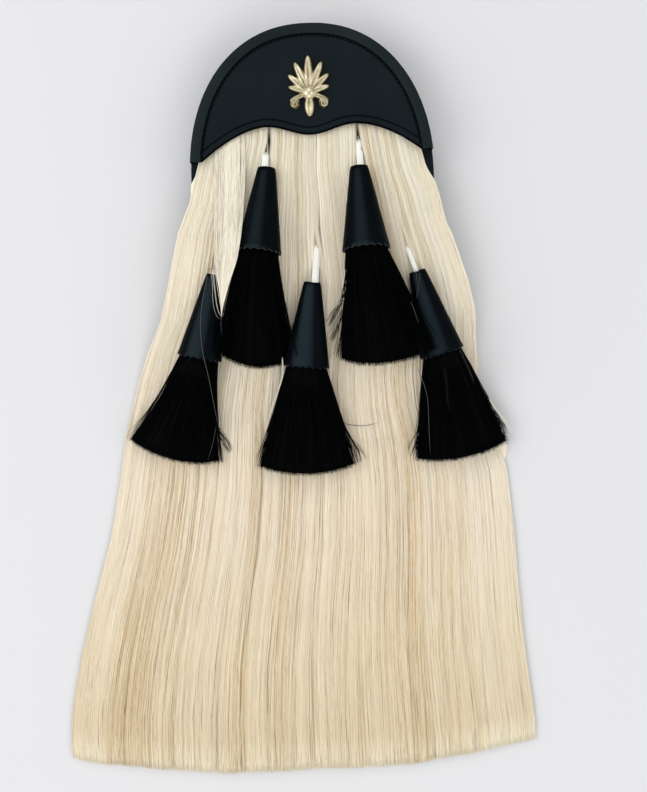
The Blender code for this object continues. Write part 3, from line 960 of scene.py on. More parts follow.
def add_scroll(shape, side):
    """A volute: beads of falling size along a spiral, which the remesh joins to a roll."""
    across, up = SCROLL_PLACE
    for step in np.linspace(0, 1, SCROLL_BEADS):
        angle = SCROLL_START + step * SCROLL_SWEEP
        reach = SCROLL_RADIUS * (0.78 - 0.62 * step)
        place = (side * (across + reach * math.sin(angle)), up + reach * math.cos(angle))
        add_bead(shape, place, ROLL_RADIUS - ROLL_THINS * step, BADGE_HIGH * (0.62 + 0.3 * step))
    add_bead(shape, (side * across, up), SCROLL_RADIUS * 0.92, BADGE_HIGH * 0.42)


print("ornament helpers ready")

# %% Cast the ornament
BADGE_VOXEL = 0.00034
BOSS_BEADS = 14
BOSS_BEAD_RADIUS = 0.00085
badge_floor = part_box("badge")[0][2]


def make_badge():
    shape = bmesh.new()
    for leaf in LEAVES:
        for side in (-1, 1) if leaf.turn else (1,):
            add_leaf(shape, side * leaf.turn, leaf.length, leaf.width)
    for side in (-1, 1):
        add_leaf(shape, side * STALK.turn, STALK.length, STALK.width, BADGE_HIGH * 0.8)
        add_scroll(shape, side)
    add_leaf(shape, *DROP)
    add_bead(shape, (0, 0), BOSS_RADIUS, BADGE_HIGH * 1.12)
    for turn in np.linspace(0, 2 * math.pi, BOSS_BEADS, endpoint=False):
        place = (BOSS_RADIUS * 0.98 * math.cos(turn), BOSS_RADIUS * 0.98 * math.sin(turn))
        add_bead(shape, place, BOSS_BEAD_RADIUS, BADGE_HIGH * 0.95)
    centre = (CENTRE.x + BADGE_CENTRE[0], CENTRE.y + BADGE_CENTRE[1], badge_floor)
    bmesh.ops.transform(shape, matrix=Matrix.Translation(centre) @ Matrix.Rotation(BADGE_TURN, 4, "Z"),
                        verts=shape.verts)
    rough = add_mesh_object("badge_rough", shape)
    melt = rough.modifiers.new("melt", "REMESH")
    melt.mode = "VOXEL"
    melt.voxel_size = BADGE_VOXEL
    soften = rough.modifiers.new("soften", "SMOOTH")
    soften.iterations = 2
    soften.factor = 0.4
    skin = bmesh.new()
    skin.from_object(rough, bpy.context.evaluated_depsgraph_get())
    bpy.data.objects.remove(rough)
    cut = bmesh.ops.bisect_plane(skin, geom=skin.verts[:] + skin.edges[:] + skin.faces[:],
                                 plane_co=centre, plane_no=(0, 0, 1), clear_inner=True)
    bmesh.ops.triangle_fill(skin, use_beauty=False, use_dissolve=False,
                            edges=only(BMEdge, cut["geom_cut"]))
    bmesh.ops.recalc_face_normals(skin, faces=skin.faces)
    badge = add_mesh_object("badge_cast", skin)
    heights = np.array([vertex.co.z for vertex in badge.data.vertices])
    give_number(badge.data, "high", np.clip((heights - badge_floor) / BADGE_HIGH, 0, 1))
    smooth_piece(badge, 60)
    return finish_piece(badge, "badge_metal", "badge")


badge = make_badge()
print("ornament faces:", len(badge.data.polygons))

# %% [markdown]
# ## Heights to lie on
#
# Hair, thongs and wisps lie on something, so their heights are read from the solid model. Rays
# are cast down on a fine square grid once, and every strand then reads its height between the
# grid's points. Casting rays for each point of each strand would give the same, far more slowly.

# %% Cast rays on a grid
GRID_STEP = 0.002
GRID_MARGIN = 0.02
GRID_X = np.arange(cad_box[0][0] - GRID_MARGIN, cad_box[1][0] + GRID_MARGIN, GRID_STEP)
GRID_Y = np.arange(cad_box[0][1] - GRID_MARGIN, cad_box[1][1] + GRID_MARGIN, GRID_STEP)
ABOVE_ALL = 0.2


def joined_tree(meshes):
    """One search tree over several meshes."""
    shape = bmesh.new()
    for mesh in meshes:
        shape.from_mesh(mesh)
    tree = BVHTree.FromBMesh(shape)
    shape.free()
    return tree


def cad_tree(*names):
    """A search tree over some of the solid model's pieces."""
    return joined_tree([nodes[name].data for name in names])


def height_grid(tree, from_below=False):
    """The upper side of what is in the tree, or its underside; NaN where there is none."""
    start, way = (-ABOVE_ALL, 1) if from_below else (ABOVE_ALL, -1)
    heights = np.full((len(GRID_Y), len(GRID_X)), np.nan)
    for row, y in enumerate(GRID_Y):
        for column, x in enumerate(GRID_X):
            hit = tree.ray_cast((x, y, start), (0, 0, way))[0]
            if hit is not None:
                heights[row, column] = hit.z
    return heights


print("grid points:", len(GRID_X) * len(GRID_Y))

# %% Fill and read the grids
EDGE_ROUNDS = 6
BESIDE_HAIR = 0.002


def around(grid):
    """The grid's eight shifted copies, which put each cell's neighbours in its place."""
    padded = np.pad(grid, 1, mode="edge")
    rows, columns = grid.shape
    return np.stack([
        padded[1 + i:1 + i + rows, 1 + j:1 + j + columns]
        for i in (-1, 0, 1) for j in (-1, 0, 1) if i or j
    ])


def filled_outward(grid, rounds, rest):
    """Gives empty cells the mean of their known neighbours, ring by ring, and rest further out."""
    grid = grid.copy()
    for _ in range(rounds):
        near = around(grid)
        known = ~np.isnan(near)
        mean = np.where(known, near, 0).sum(axis=0) / np.maximum(known.sum(axis=0), 1)
        grid = np.where(np.isnan(grid) & known.any(axis=0), mean, grid)
    return np.where(np.isnan(grid), rest, grid)


def read_grid(grid, x, y):
    """Heights at any places, blended between the four nearest grid points."""
    across = np.clip((np.asarray(x) - GRID_X[0]) / GRID_STEP, 0, len(GRID_X) - 1.001)
    upward = np.clip((np.asarray(y) - GRID_Y[0]) / GRID_STEP, 0, len(GRID_Y) - 1.001)
    column, row = across.astype(int), upward.astype(int)
    s, t = across - column, upward - row
    low = grid[row, column] * (1 - s) + grid[row, column + 1] * s
    high = grid[row + 1, column] * (1 - s) + grid[row + 1, column + 1] * s
    return low * (1 - t) + high * t


hair_tree = cad_tree("horsehair")
hair_top = filled_outward(height_grid(hair_tree), EDGE_ROUNDS, BESIDE_HAIR)
hair_under = filled_outward(height_grid(hair_tree, from_below=True), EDGE_ROUNDS, 0.0)
print("grid:", hair_top.shape, "hair up to", round(float(hair_top.max()), 4))

# %% [markdown]
# ## Tassel cones
#
# A tassel's sleeve is a piece of thin hide rolled to a cone, slightly flattened where it lies,
# with its wide end cut by pinking shears. The solid model fixes where each cone lies: rays from
# above and below find the height of its axis. The sleeve is an open cone with many sides, bent
# to that axis; a solidify gives the hide its thickness, inwards, and leaves the pale cut edge as
# faces of their own. An open tube has no inside of its own, so its faces are turned outward by
# looking at one of them.

# %% Where the tassels lie
FLATTEN = 0.75
CONE_WALL = 0.0015
AXIS_PLACES = (0.08, 0.92)
# Places count from the pouch's centre. The thong shows from the cone up to `hidden`. The brush ends
# in an arc through left, tip and right, and its two sides swell by `bows`.
Tassel = namedtuple("Tassel", "place top top_half mouth mouth_width thong hidden thong_width "
                              "left tip right bows")
TASSELS = [
    Tassel("upper_left", (-0.0348, 0.0072), 0.0070, (-0.0436, -0.0585), 0.0348,
           (-0.0363, 0.0089), (-0.0352, 0.0195), 0.0053,
           (-0.0795, -0.1320), (-0.0492, -0.1456), (-0.0166, -0.1375), (0.0005, -0.0018)),
    Tassel("upper_right", (0.0358, 0.0054), 0.0070, (0.0384, -0.0597), 0.0368,
           (0.0369, 0.0057), (0.0367, 0.0288), 0.0053,
           (0.0140, -0.1414), (0.0490, -0.1468), (0.0904, -0.1368), (0.0, 0.0)),
    Tassel("middle", (-0.0037, -0.0818), 0.0066, (-0.0110, -0.1461), 0.0355,
           (-0.0017, -0.0813), (0.0014, -0.0538), 0.0053,
           (-0.0540, -0.2216), (-0.0140, -0.2301), (0.0256, -0.2232), (0.0, 0.0)),
    Tassel("lower_left", (-0.0781, -0.0725), 0.0062, (-0.0932, -0.1357), 0.0345,
           (-0.0790, -0.0760), (-0.0786, -0.0740), 0.0053,
           (-0.1547, -0.1955), (-0.1184, -0.2146), (-0.0793, -0.2168), (-0.0018, -0.0028)),
    Tassel("lower_right", (0.0765, -0.0765), 0.0066, (0.0937, -0.1397), 0.0348,
           (0.0759, -0.0762), (0.0703, -0.0575), 0.0039,
           (0.0696, -0.2220), (0.1091, -0.2226), (0.1448, -0.2105), (0.0, 0.0020)),
]
ConeFrame = namedtuple("ConeFrame", "top mouth side up half top_half")


def on_pouch(point):
    """A place counted from the pouch's centre, in the frame's own coordinates."""
    return Vector((CENTRE.x + point[0], CENTRE.y + point[1]))


def cone_frame(tassel):
    """The cone's axis in space, with its sideways and upward directions."""
    tree = cad_tree("tassel_cone_" + tassel.place)
    flat_top, flat_mouth = on_pouch(tassel.top), on_pouch(tassel.mouth)
    shares, heights = AXIS_PLACES, []
    for share in shares:
        x, y = flat_top.lerp(flat_mouth, share)
        upper = tree.ray_cast((x, y, ABOVE_ALL), (0, 0, -1))[0].z
        lower = tree.ray_cast((x, y, -ABOVE_ALL), (0, 0, 1))[0].z
        heights.append((upper + lower) / 2)
    slope = (heights[1] - heights[0]) / (shares[1] - shares[0])
    start = heights[0] - slope * shares[0]
    top, mouth = Vector((*flat_top, start)), Vector((*flat_mouth, start + slope))
    along = (mouth - top).normalized()
    side = Vector((-along.y, along.x, 0)).normalized()
    return ConeFrame(top, mouth, side, along.cross(side), tassel.mouth_width / 2, tassel.top_half)


cones = {tassel.place: cone_frame(tassel) for tassel in TASSELS}
for place, cone in cones.items():
    print(place, "axis heights:", round(cone.top.z, 4), round(cone.mouth.z, 4))

# %% Leather cones
TEETH = 18
SIDES_PER_TOOTH = 6
CONE_RINGS = 16
TOOTH_DEPTH = 0.0013
TOOTH_REACH = 0.06
ROLL_STEP = 0.9
TOP_NARROWS = 0.05
TOP_REACH = 0.03
MOUTH_WAVE = 0.012


def make_cone(tassel, cone):
    shape = straight_tube(TEETH * SIDES_PER_TOOTH, CONE_RINGS, capped=False)
    along = (cone.mouth - cone.top).normalized()
    roll = len(tassel.place) * ROLL_STEP

    def place(co):
        share = 0.5 - co.z
        turn = math.atan2(co.y, co.x)
        tooth = abs(turn / (2 * math.pi) * TEETH % 1 - 0.5) * 2
        cut = TOOTH_DEPTH * tooth * max(0.0, 1 - (1 - share) / TOOTH_REACH)
        half = cone.top_half + (cone.half - cone.top_half) * share
        wave = MOUTH_WAVE * share * math.sin(3 * turn + roll)
        half *= 1 - TOP_NARROWS * math.exp(-share / TOP_REACH) + wave
        middle = cone.top.lerp(cone.mouth, share) - along * cut
        return middle + (cone.side * co.x + cone.up * co.y * FLATTEN) * half

    bend(shape, place)
    wall_face = shape.faces[0]
    foot = (wall_face.calc_center_median() - cone.top).project(along) + cone.top
    if wall_face.normal.dot(wall_face.calc_center_median() - foot) < 0:
        bmesh.ops.reverse_faces(shape, faces=shape.faces)
    sleeve = add_mesh_object("cone_leather_" + tassel.place, shape)
    finish_piece(sleeve, "tassel_leather", "tassel_cone_" + tassel.place)
    sleeve.data.materials.append(finishes["cut_edge"])
    wall = sleeve.modifiers.new("wall", "SOLIDIFY")
    wall.thickness = CONE_WALL
    wall.offset = -1
    wall.material_offset_rim = 1
    rounded_edges(sleeve, 0.0003, segments=1, angle=60)
    smooth_piece(sleeve, 45)
    return sleeve


for tassel in TASSELS:
    make_cone(tassel, cones[tassel.place])
print("cones:", len(TASSELS))

# %% [markdown]
# ## Thongs
#
# Each tassel hangs on a flat white thong. Only its last stretch shows: higher up it dives
# between the hairs, so past the place where it vanishes its line is sunk into the fall. Its
# height is measured on the solid thong and smoothed, so that it rises into the cone in a soft
# bend and not in a kink.

# %% White thongs
THONG_THICK = 0.0015
THONG_STEPS = 48
THONG_CORNER = 0.0002
THONG_NARROWS = 0.10
THONG_REACH = 0.012
THONG_INSIDE = 0.0080
THONG_SINK = 0.0062
THONG_SMOOTHING = 4
SINK_FROM = -0.004
SINK_TO = 0.008


def thong_line(tassel, cone):
    """Middle points of the thong, from inside the fall of hair into the cone."""
    seen, hidden = on_pouch(tassel.thong), on_pouch(tassel.hidden)
    outward = (hidden - seen).normalized()
    inner = seen - outward * THONG_INSIDE
    outer = hidden + outward * THONG_REACH
    tree = cad_tree("tassel_thong_" + tassel.place)
    bare = (hidden - inner).length
    line = []
    for share in np.linspace(0, 1, THONG_STEPS + 1):
        x, y = outer.lerp(inner, share)
        hit = tree.find_nearest((x, y, cone.top.z))[0]
        past = ((Vector((x, y)) - inner).length - bare - SINK_FROM) / (SINK_TO - SINK_FROM)
        past = min(max(past, 0.0), 1.0)
        line.append((x, y, hit.z - THONG_THICK / 2 - THONG_SINK * past * past * (3 - 2 * past)))
    line = np.array(line)
    for _ in range(THONG_SMOOTHING):
        line[1:-1, 2] = (line[:-2, 2] + 2 * line[1:-1, 2] + line[2:, 2]) / 4
    return line


def make_thong(tassel, cone):
    line = thong_line(tassel, cone)
    half, thick = tassel.thong_width / 2, THONG_THICK / 2
    section = [(-half, -thick), (half, -thick), (half, -0.3 * thick), (0.3 * half, thick),
               (-0.6 * half, thick), (-half, 0.3 * thick)]
    shape = swept(section, THONG_STEPS, THONG_CORNER)

    def place(co):
        step = int(round(co.y))
        narrowed = 1 - THONG_NARROWS * (1 - step / THONG_STEPS)
        return Vector(line[step]) + cone.side * co.x * narrowed + Vector((0, 0, co.z))

    bend(shape, place)
    thong = add_mesh_object("thong_" + tassel.place, shape)
    smooth_piece(thong, 50)
    return finish_piece(thong, "thong_leather", "tassel_thong_" + tassel.place)


thongs = [make_thong(tassel, cones[tassel.place]) for tassel in TASSELS]
print("thongs:", len(thongs))

# %% [markdown]
# ## Strands
#
# Real hair is far too fine to model one by one, so each strand here stands for a few hairs. A
# strand is a thin tube with three sides, closed at both ends and tapered to its tip. Thousands
# of objects would be slow, so all strands of a piece are worked out as arrays and joined into
# one mesh. Every vertex also carries the strand's own `tint`, how far `down` the fall it lies,
# and a `shade` for partings.

# %% Join strands into one mesh
STRAND_SIDES = 3
FREE_TAPER = ((0.0, 0.03, 0.80, 1.0), (0.6, 1.0, 0.9, 0.3))
FALL_TAPER = ((0.0, 0.10, 0.90, 0.975, 1.0), (0.75, 0.8, 1.35, 1.3, 0.6))


def make_strands(name, paths, radii, tint, down=None, shade=None, taper=FREE_TAPER):
    """One tapered tube for each path. paths is strands x points x 3, and tint, down and shade
    are strands x points. The taper gives places along a strand and its thickness there."""
    count, points = paths.shape[:2]
    along = np.gradient(paths, axis=1)
    along /= np.linalg.norm(along, axis=2, keepdims=True)
    side = np.cross(along, (0.0, 0.0, 1.0))
    side /= np.linalg.norm(side, axis=2, keepdims=True)
    up = np.cross(side, along)
    steps = np.linalg.norm(np.diff(paths, axis=1), axis=2).mean(axis=0)
    thin = np.interp(np.append(0, np.cumsum(steps)) / steps.sum(), *taper)
    size = radii[:, None, None, None] * thin[None, :, None, None]
    turn = np.arange(STRAND_SIDES) * 2 * np.pi / STRAND_SIDES
    turn = turn[None, :] + rng.uniform(0, 2 * np.pi, count)[:, None]
    cos, sin = np.cos(turn)[:, None, :, None], np.sin(turn)[:, None, :, None]
    corners = paths[:, :, None] + size * (cos * side[:, :, None] + sin * up[:, :, None])
    number = np.arange(count * points * STRAND_SIDES).reshape(count, points, STRAND_SIDES)
    here, beside = number[:, :-1], np.roll(number, -1, axis=2)[:, :-1]
    ahead, ahead_beside = number[:, 1:], np.roll(number, -1, axis=2)[:, 1:]
    walls = np.stack((here, ahead, ahead_beside, beside), axis=-1).reshape(-1, 4)
    ends = np.concatenate((number[:, 0], number[:, -1, ::-1]))
    mesh = bpy.data.meshes.new(name)
    mesh.from_pydata(corners.reshape(-1, 3), [], walls.tolist() + ends.tolist())
    for label, values in (("tint", tint), ("down", down), ("shade", shade)):
        if values is not None:
            values = np.broadcast_to(values, (count, points)).reshape(-1)
            give_number(mesh, label, np.repeat(values, STRAND_SIDES))
    mesh.shade_smooth()
    print(name, "strands:", count, "triangles:", len(walls) * 2 + len(ends))
    return add_object(name, mesh)


def own_waves(count, along, fewest, most):
    """A sine along each strand, with its own number of waves and its own start."""
    waves = rng.uniform(fewest, most, count)[:, None]
    start = rng.uniform(0, 1, count)[:, None]
    return np.sin(2 * np.pi * (waves * along + start))


print("strand helpers ready")

# %% [markdown]
# ## The white horsehair: how it falls
#
# Every hair leaves the pouch under the flap and runs to the hem, and the fall widens as it goes.
# So a hair has a number `u`, from -1 at the left edge to 1 at the right, and its place at any
# height follows from the fall's two edges there. The edges are measured with cuts through the
# solid model; on the left they bulge a little more and on the right they are dented behind the
# lower tassel. Something that pushes hairs aside, such as a thong, opens a parting with painted
# shade in it. Hair also gathers in locks, so each lock gets a middle, a width, a height and a tint,
# and a few larger patches of the fall are lighter or darker than the rest.

# %% The fall's edges
ROOT_Y = 0.052
LAST_CUT_Y = -0.4400
EDGE_CUTS = 60
LEFT_BULGE = (
    (-0.020, -0.0086, 0.0008, 0.0073, 0.0135, 0.0251, 0.0368, 0.0484, 0.060, 0.072, 0.083, 0.095,
     0.110, 0.130, 0.150, 0.165, 0.190, 0.205),
    (0.0, 0.0017, 0.0047, 0.0038, 0.0022, 0.0015, 0.0015, 0.0008, 0.0008, 0.0, 0.0010, -0.0004,
     0.0005, 0.0023, 0.0031, 0.0023, 0.0015, 0.0))
RIGHT_DENT = (
    (-0.02, -0.0177, -0.012, -0.0062, -0.0007, 0.0043, 0.0074, 0.0092, 0.015, 0.0209, 0.0268, 0.0331,
     0.0449, 0.0566, 0.0682, 0.0798, 0.0915, 0.1031, 0.1147, 0.1263, 0.1379, 0.1458, 0.1497, 0.1515,
     0.153, 0.16, 0.175, 0.19, 0.203, 0.21, 0.217, 0.2255, 0.235),
    (0.001, 0.0038, 0.0017, -0.0003, -0.0015, -0.0029, -0.0035, -0.004, -0.0026, 0.0010, 0.0018, 0.0020,
     -0.0003, -0.0002, 0.0, -0.0016, -0.0015, -0.0014, 0.0003, 0.0006, 0.002, 0.0018, 0.0012, 0.002,
     0.0062, 0.011, 0.0098, 0.004, 0.0006, -0.0050, -0.0085, -0.0012, 0.0))
DENT_POWER = 5


def measure_edges(heights):
    """Left and right edge of the CAD hair at each height."""
    whole = bmesh.new()
    whole.from_mesh(nodes["horsehair"].data)
    edges = []
    for y in heights:
        part = whole.copy()
        cut = bmesh.ops.bisect_plane(part, geom=part.verts[:] + part.edges[:] + part.faces[:],
                                     plane_co=(0, y, 0), plane_no=(0, 1, 0))["geom_cut"]
        across = [vertex.co.x for vertex in only(BMVert, cut)]
        edges.append((min(across), max(across)))
        part.free()
    whole.free()
    return np.array(edges)


cut_heights = CENTRE.y + np.linspace(ROOT_Y, LAST_CUT_Y, EDGE_CUTS)
edge_table = measure_edges(cut_heights)


def hair_x(u, y):
    """Across place of hair u at height y. The dents move the hairs near the edge only."""
    below, share = CENTRE.y - y, (u + 1) / 2
    left = np.interp(-y, -cut_heights, edge_table[:, 0]) - np.interp(below, *LEFT_BULGE)
    right = np.interp(-y, -cut_heights, edge_table[:, 1])
    return left + (right - left) * share - np.interp(below, *RIGHT_DENT) * share**DENT_POWER


print("hair width at the roots and near the hem:",
      [round(float(right - left), 4) for left, right in (edge_table[0], edge_table[-1])])

# %% The hem
HEM_CORNER_Y = -0.4452
HEM_SAG = 0.0172
HEM_POWER = 2.5
HEM_FLAT = 0.009
HEM_WAVE = 0.0006
HEM_RIPPLE = 0.0004
HEM_RIGHT_LOWER = 0.0007


def hem_y(u):
    """The hem is cut in a shallow arc with a slight wave, and a little lower on the right."""
    wave = HEM_WAVE * np.sin(9 * u + 1.0) + HEM_RIPPLE * np.sin(23 * u)
    wave = wave - HEM_RIGHT_LOWER * np.clip(u, 0, 1)
    return CENTRE.y + HEM_CORNER_Y - HEM_SAG * (1 - np.abs(u) ** HEM_POWER) + wave


print("hem at its left corner, middle and right corner:", [round(float(hem_y(u)), 4) for u in (-1, 0, 1)])

# %% Partings
STRAND_SLIT = 0.0006
FAINT_PARTINGS = 34
FAINT_START = (0.02, 0.38)
FAINT_LENGTH = (0.04, 0.13)
FAINT_OPENING = (0.0002, 0.0006)
FAINT_REACH = 0.0035
FAINT_SHADE = (0.03, 0.13)
# A parting's `dark` is the strength of the shade painted into the gap that it opens.
Parting = namedtuple("Parting", "top bottom opening reach dark")
PARTINGS = [
    Parting((-0.0303, 0.0385), (-0.0365, 0.0085), 0.0034, 0.010, 1.0),
    Parting((0.0359, 0.0405), (0.0370, 0.0055), 0.0034, 0.010, 1.0),
    Parting((0.0047, -0.0324), (-0.0017, -0.0815), 0.0030, 0.011, 0.55),
    Parting((0.0645, -0.0430), (0.0759, -0.0770), 0.0026, 0.010, 0.35),
    Parting((-0.0800, -0.0200), (-0.0790, -0.0720), 0.0005, 0.005, 0.10),
    Parting((-0.0912, -0.3350), (-0.0955, -0.4600), 0.0005, 0.004, 0.30),
    Parting((-0.1480, -0.2900), (-0.1690, -0.4300), 0.0004, 0.005, 0.14),
]
for _ in range(FAINT_PARTINGS):
    beside, start, length = rng.uniform(-0.95, 0.95), -rng.uniform(*FAINT_START), rng.uniform(*FAINT_LENGTH)
    ends = [(float(hair_x(beside, CENTRE.y + y)) - CENTRE.x, y) for y in (start, start - length)]
    PARTINGS.append(Parting(*ends, rng.uniform(*FAINT_OPENING), FAINT_REACH, rng.uniform(*FAINT_SHADE)))

def pushed_aside(x, y, slit_half=STRAND_SLIT):
    """Opens each parting to a narrow wedge; also gives the strength of the shade painted into the parting
    there.
    """
    x, shade = np.array(x, float), np.zeros_like(x, float)
    for parting in PARTINGS:
        top, bottom = on_pouch(parting.top), on_pouch(parting.bottom)
        share = (top.y - y) / (top.y - bottom.y)
        opened = parting.opening * np.clip(share, 0, 1) ** 1.6 * np.clip(2.2 - 1.2 * share, 0, 1)
        away = x - (top.x + (bottom.x - top.x) * np.clip(share, 0, 1.5))
        slit_width = slit_half * np.clip(share * 8, 0.15, 1) + 0.5 * opened
        slit = np.exp(-((away / slit_width) ** 2))
        begins, ends = np.clip(share * 15, 0, 1), np.clip((1.02 - share) * 12, 0, 1)
        fades = np.clip(1 - (share - 0.42) * 1.6, 0.35, 1)
        shade = np.maximum(shade, slit * (begins * fades * ends) * parting.dark)
        x = x + np.sign(away) * opened * np.exp(-np.abs(away) / parting.reach)
    return x, shade


print("partings:", len(PARTINGS))

# %% Locks
LOCK_COUNT = 54
LOCK_JITTER = 0.35
LOCK_WIDTHS = (0.8, 1.9)
LOCK_HEIGHTS = (0.0002, 0.0011)
LOCK_TINT = (0.62, 0.11)
LOCK_SWAY = 0.016
LOCK_GATHER = 0.45

lock_middle = np.linspace(-1, 1, LOCK_COUNT) + rng.normal(0, LOCK_JITTER / LOCK_COUNT, LOCK_COUNT)
lock_width = 2.0 / LOCK_COUNT * rng.uniform(*LOCK_WIDTHS, LOCK_COUNT)
lock_high = rng.uniform(*LOCK_HEIGHTS, LOCK_COUNT)
lock_tint = np.clip(rng.normal(*LOCK_TINT, LOCK_COUNT), 0.30, 0.95)
lock_sway = rng.uniform(0.3, 1.0, LOCK_COUNT) * LOCK_SWAY
lock_phase = rng.uniform(0, 2 * np.pi, LOCK_COUNT)
lock_gather = rng.uniform(0.0, LOCK_GATHER, LOCK_COUNT)


def lock_line(lock, down):
    """The middle of a lock, which sways a little on its way down."""
    phase = lock_phase[lock]
    turn = 2.2 * np.pi * down * (0.6 + 0.4 * np.cos(phase)) + phase
    return lock_middle[lock] + lock_sway[lock] * np.sin(turn) * np.sqrt(down)


print("locks:", LOCK_COUNT, "mean tint:", round(float(lock_tint.mean()), 3))

# %% Patches of tint
# Each patch has its middle across and down, its radii, and its change of tint.
Zone = namedtuple("Zone", "u down wide high change")
ZONES = [
    Zone(-0.78, 0.78, 0.060, 0.30, -0.22),
    Zone(-0.66, 0.60, 0.030, 0.22, -0.14),
    Zone(-0.96, 0.72, 0.080, 0.34, 0.20),
    Zone(-0.68, 0.22, 0.050, 0.07, -0.22),
    Zone(-0.50, 0.30, 0.120, 0.10, 0.14),
    Zone(0.05, 0.72, 0.080, 0.25, 0.05),
    Zone(0.90, 0.68, 0.150, 0.42, 0.40),
    Zone(0.36, 0.82, 0.100, 0.15, -0.12),
    Zone(-0.80, 0.95, 0.150, 0.10, -0.12),
    # Painted light: this patch lightens the hair between the upper-left brush and the middle cone, against
    # the shade that falls there.
    Zone(-0.17, 0.36, 0.060, 0.10, 0.28),
    Zone(-0.33, 0.70, 0.090, 0.14, 0.12),
    Zone(0.38, 0.58, 0.100, 0.20, -0.13),
]


def zone_change(u, down):
    """How much lighter or darker than its lock the hair is at a place."""
    change = np.zeros(np.broadcast(u, down).shape)
    for zone in ZONES:
        beside, below = (u - zone.u) / zone.wide, (down - zone.down) / zone.high
        change += zone.change * np.exp(-beside**2 - below**2)
    return change


print("patches of tint:", len(ZONES))

# %% [markdown]
# ## The mat under the strands
#
# Strands alone would let the floor show through, and a real fall is thick. So a closed mat fills
# it: a grid laid over the fall, whose upper side follows the solid's height with a soft ridge for
# each lock. Its copy, extruded and laid on the underside, closes it.

# %% Make the mat
MAT_COLUMNS = 124
MAT_ROWS = 84
MAT_SINK = 0.0006
MAT_END = 0.9985
MAT_SIDE = 0.992
MAT_SLIT = 0.0030
MAT_GROOVE = 0.0013
MAT_UNDER_RIDGE = 0.3
EDGE_FADE = 14
MAT_THIN = 0.0008
MAT_DARKER = 0.04
HEM_CALM = 0.55


def mat_ridges(u, down):
    """Height of the highest lock at each place, and that lock's tint."""
    offset = (u[:, None] - np.stack([lock_line(k, down) for k in range(LOCK_COUNT)], axis=1)) / lock_width
    ridge = lock_high * np.clip(1 - offset**2, 0, 1)
    best = ridge.argmax(axis=1)
    return ridge.max(axis=1), lock_tint[best]


def make_mat():
    shape = bmesh.new()
    bmesh.ops.create_grid(shape, x_segments=MAT_COLUMNS, y_segments=MAT_ROWS, size=1.0)
    drawn = bmesh.ops.extrude_face_region(shape, geom=shape.faces[:])["geom"]
    lower = set(only(BMVert, drawn))
    flat = np.array([vertex.co[:2] for vertex in shape.verts])
    is_lower = np.array([vertex in lower for vertex in shape.verts])
    u, down = flat[:, 0] * MAT_SIDE, (1 - flat[:, 1]) / 2
    start = CENTRE.y + ROOT_Y
    y = start + (hem_y(u) - start) * down * MAT_END
    x = hair_x(u, y)
    # The mat is grooved along each parting and carries its painted shade, a little wider than on the strands.
    shade = pushed_aside(x, y, MAT_SLIT)[1]
    ridge, tint = mat_ridges(u, down)
    ridge *= 1 - HEM_CALM * down
    edge = np.clip((1 - np.abs(flat[:, 0])) * EDGE_FADE, 0, 1)
    level = np.maximum(y, hem_y(u) + HEM_FLAT)
    top = read_grid(hair_top, x, level) - MAT_SINK + (ridge - MAT_GROOVE * shade) * edge
    low = read_grid(hair_under, x, y) + ridge * MAT_UNDER_RIDGE * edge
    top = np.maximum(top, low + MAT_THIN)
    for vertex, place in zip(shape.verts, np.stack((x, y, np.where(is_lower, low, top)), axis=1)):
        vertex.co = place
    bmesh.ops.recalc_face_normals(shape, faces=shape.faces)
    uv = shape.loops.layers.uv.new("along_hair")
    shape.verts.index_update()
    for face in shape.faces:
        for loop in face.loops:
            loop[uv].uv = (u[loop.vert.index], down[loop.vert.index])
    mat = add_mesh_object("horsehair_mat", shape)
    give_number(mat.data, "tint", tint + zone_change(u, down) - MAT_DARKER)
    give_number(mat.data, "down", down)
    give_number(mat.data, "shade", shade)
    mat.data.shade_smooth()
    return finish_piece(mat, "white_hair", "horsehair")


mat = make_mat()
print("mat faces:", len(mat.data.polygons))

# %% [markdown]
# ## White strands
#
# Strands lie on the mat in the same locks. Two rules set their height: they follow the solid's
# upper side, and they stay under the flap, the cones, the brushes and the last stretch of the
# thongs.

# %% Where strands pass under
UNDER_GAP = 0.0004
THONG_SHOWS = 0.006
FREE_ABOVE = 1.0
tassel_nodes = [kind + tassel.place for tassel in TASSELS for kind in ("tassel_cone_", "tassel_hair_")]


def tassel_ceiling():
    """Underside of all that lies on the hair; of the thongs only what shows counts."""
    grid = height_grid(cad_tree(*tassel_nodes), from_below=True)
    for tassel in TASSELS:
        under = height_grid(cad_tree("tassel_thong_" + tassel.place), from_below=True)
        under[GRID_Y > CENTRE.y + tassel.hidden[1] - THONG_SHOWS] = np.nan
        grid = np.fmin(grid, under)
    grid = np.where(np.isnan(grid), FREE_ABOVE, grid - UNDER_GAP)
    return np.minimum(grid, around(grid).min(axis=0))


ceiling_grid = tassel_ceiling()
flap_ceiling = flap_low[2] - UNDER_GAP
print("grids for strands ready")

# %% Helpers for combing
CROSSING = 0.012
EDGE_MARGIN = 0.002


def nearest_lock(u):
    """The lock that each hair belongs to, with a little mixing between neighbours."""
    return np.abs(u[:, None] + rng.normal(0, CROSSING, len(u))[:, None] - lock_middle).argmin(axis=1)


def below_flap(x, y, z):
    """Keeps what is under the flap below its underside."""
    edge = CENTRE.y + np.vectorize(wavy_edge_y)(np.clip(x - CENTRE.x, -CORNER_X, CORNER_X))
    return np.where(y > edge - EDGE_MARGIN, np.minimum(z, flap_ceiling), z)


def hair_heights(u, x, y, lift):
    """Lays strands on the fall, under the tassels and the flap, and level up to the cut hem."""
    z = read_grid(hair_top, x, np.maximum(y, hem_y(u) + HEM_FLAT)) + lift
    return below_flap(x, y, np.minimum(z, read_grid(ceiling_grid, x, y)))


print("combing helpers ready")

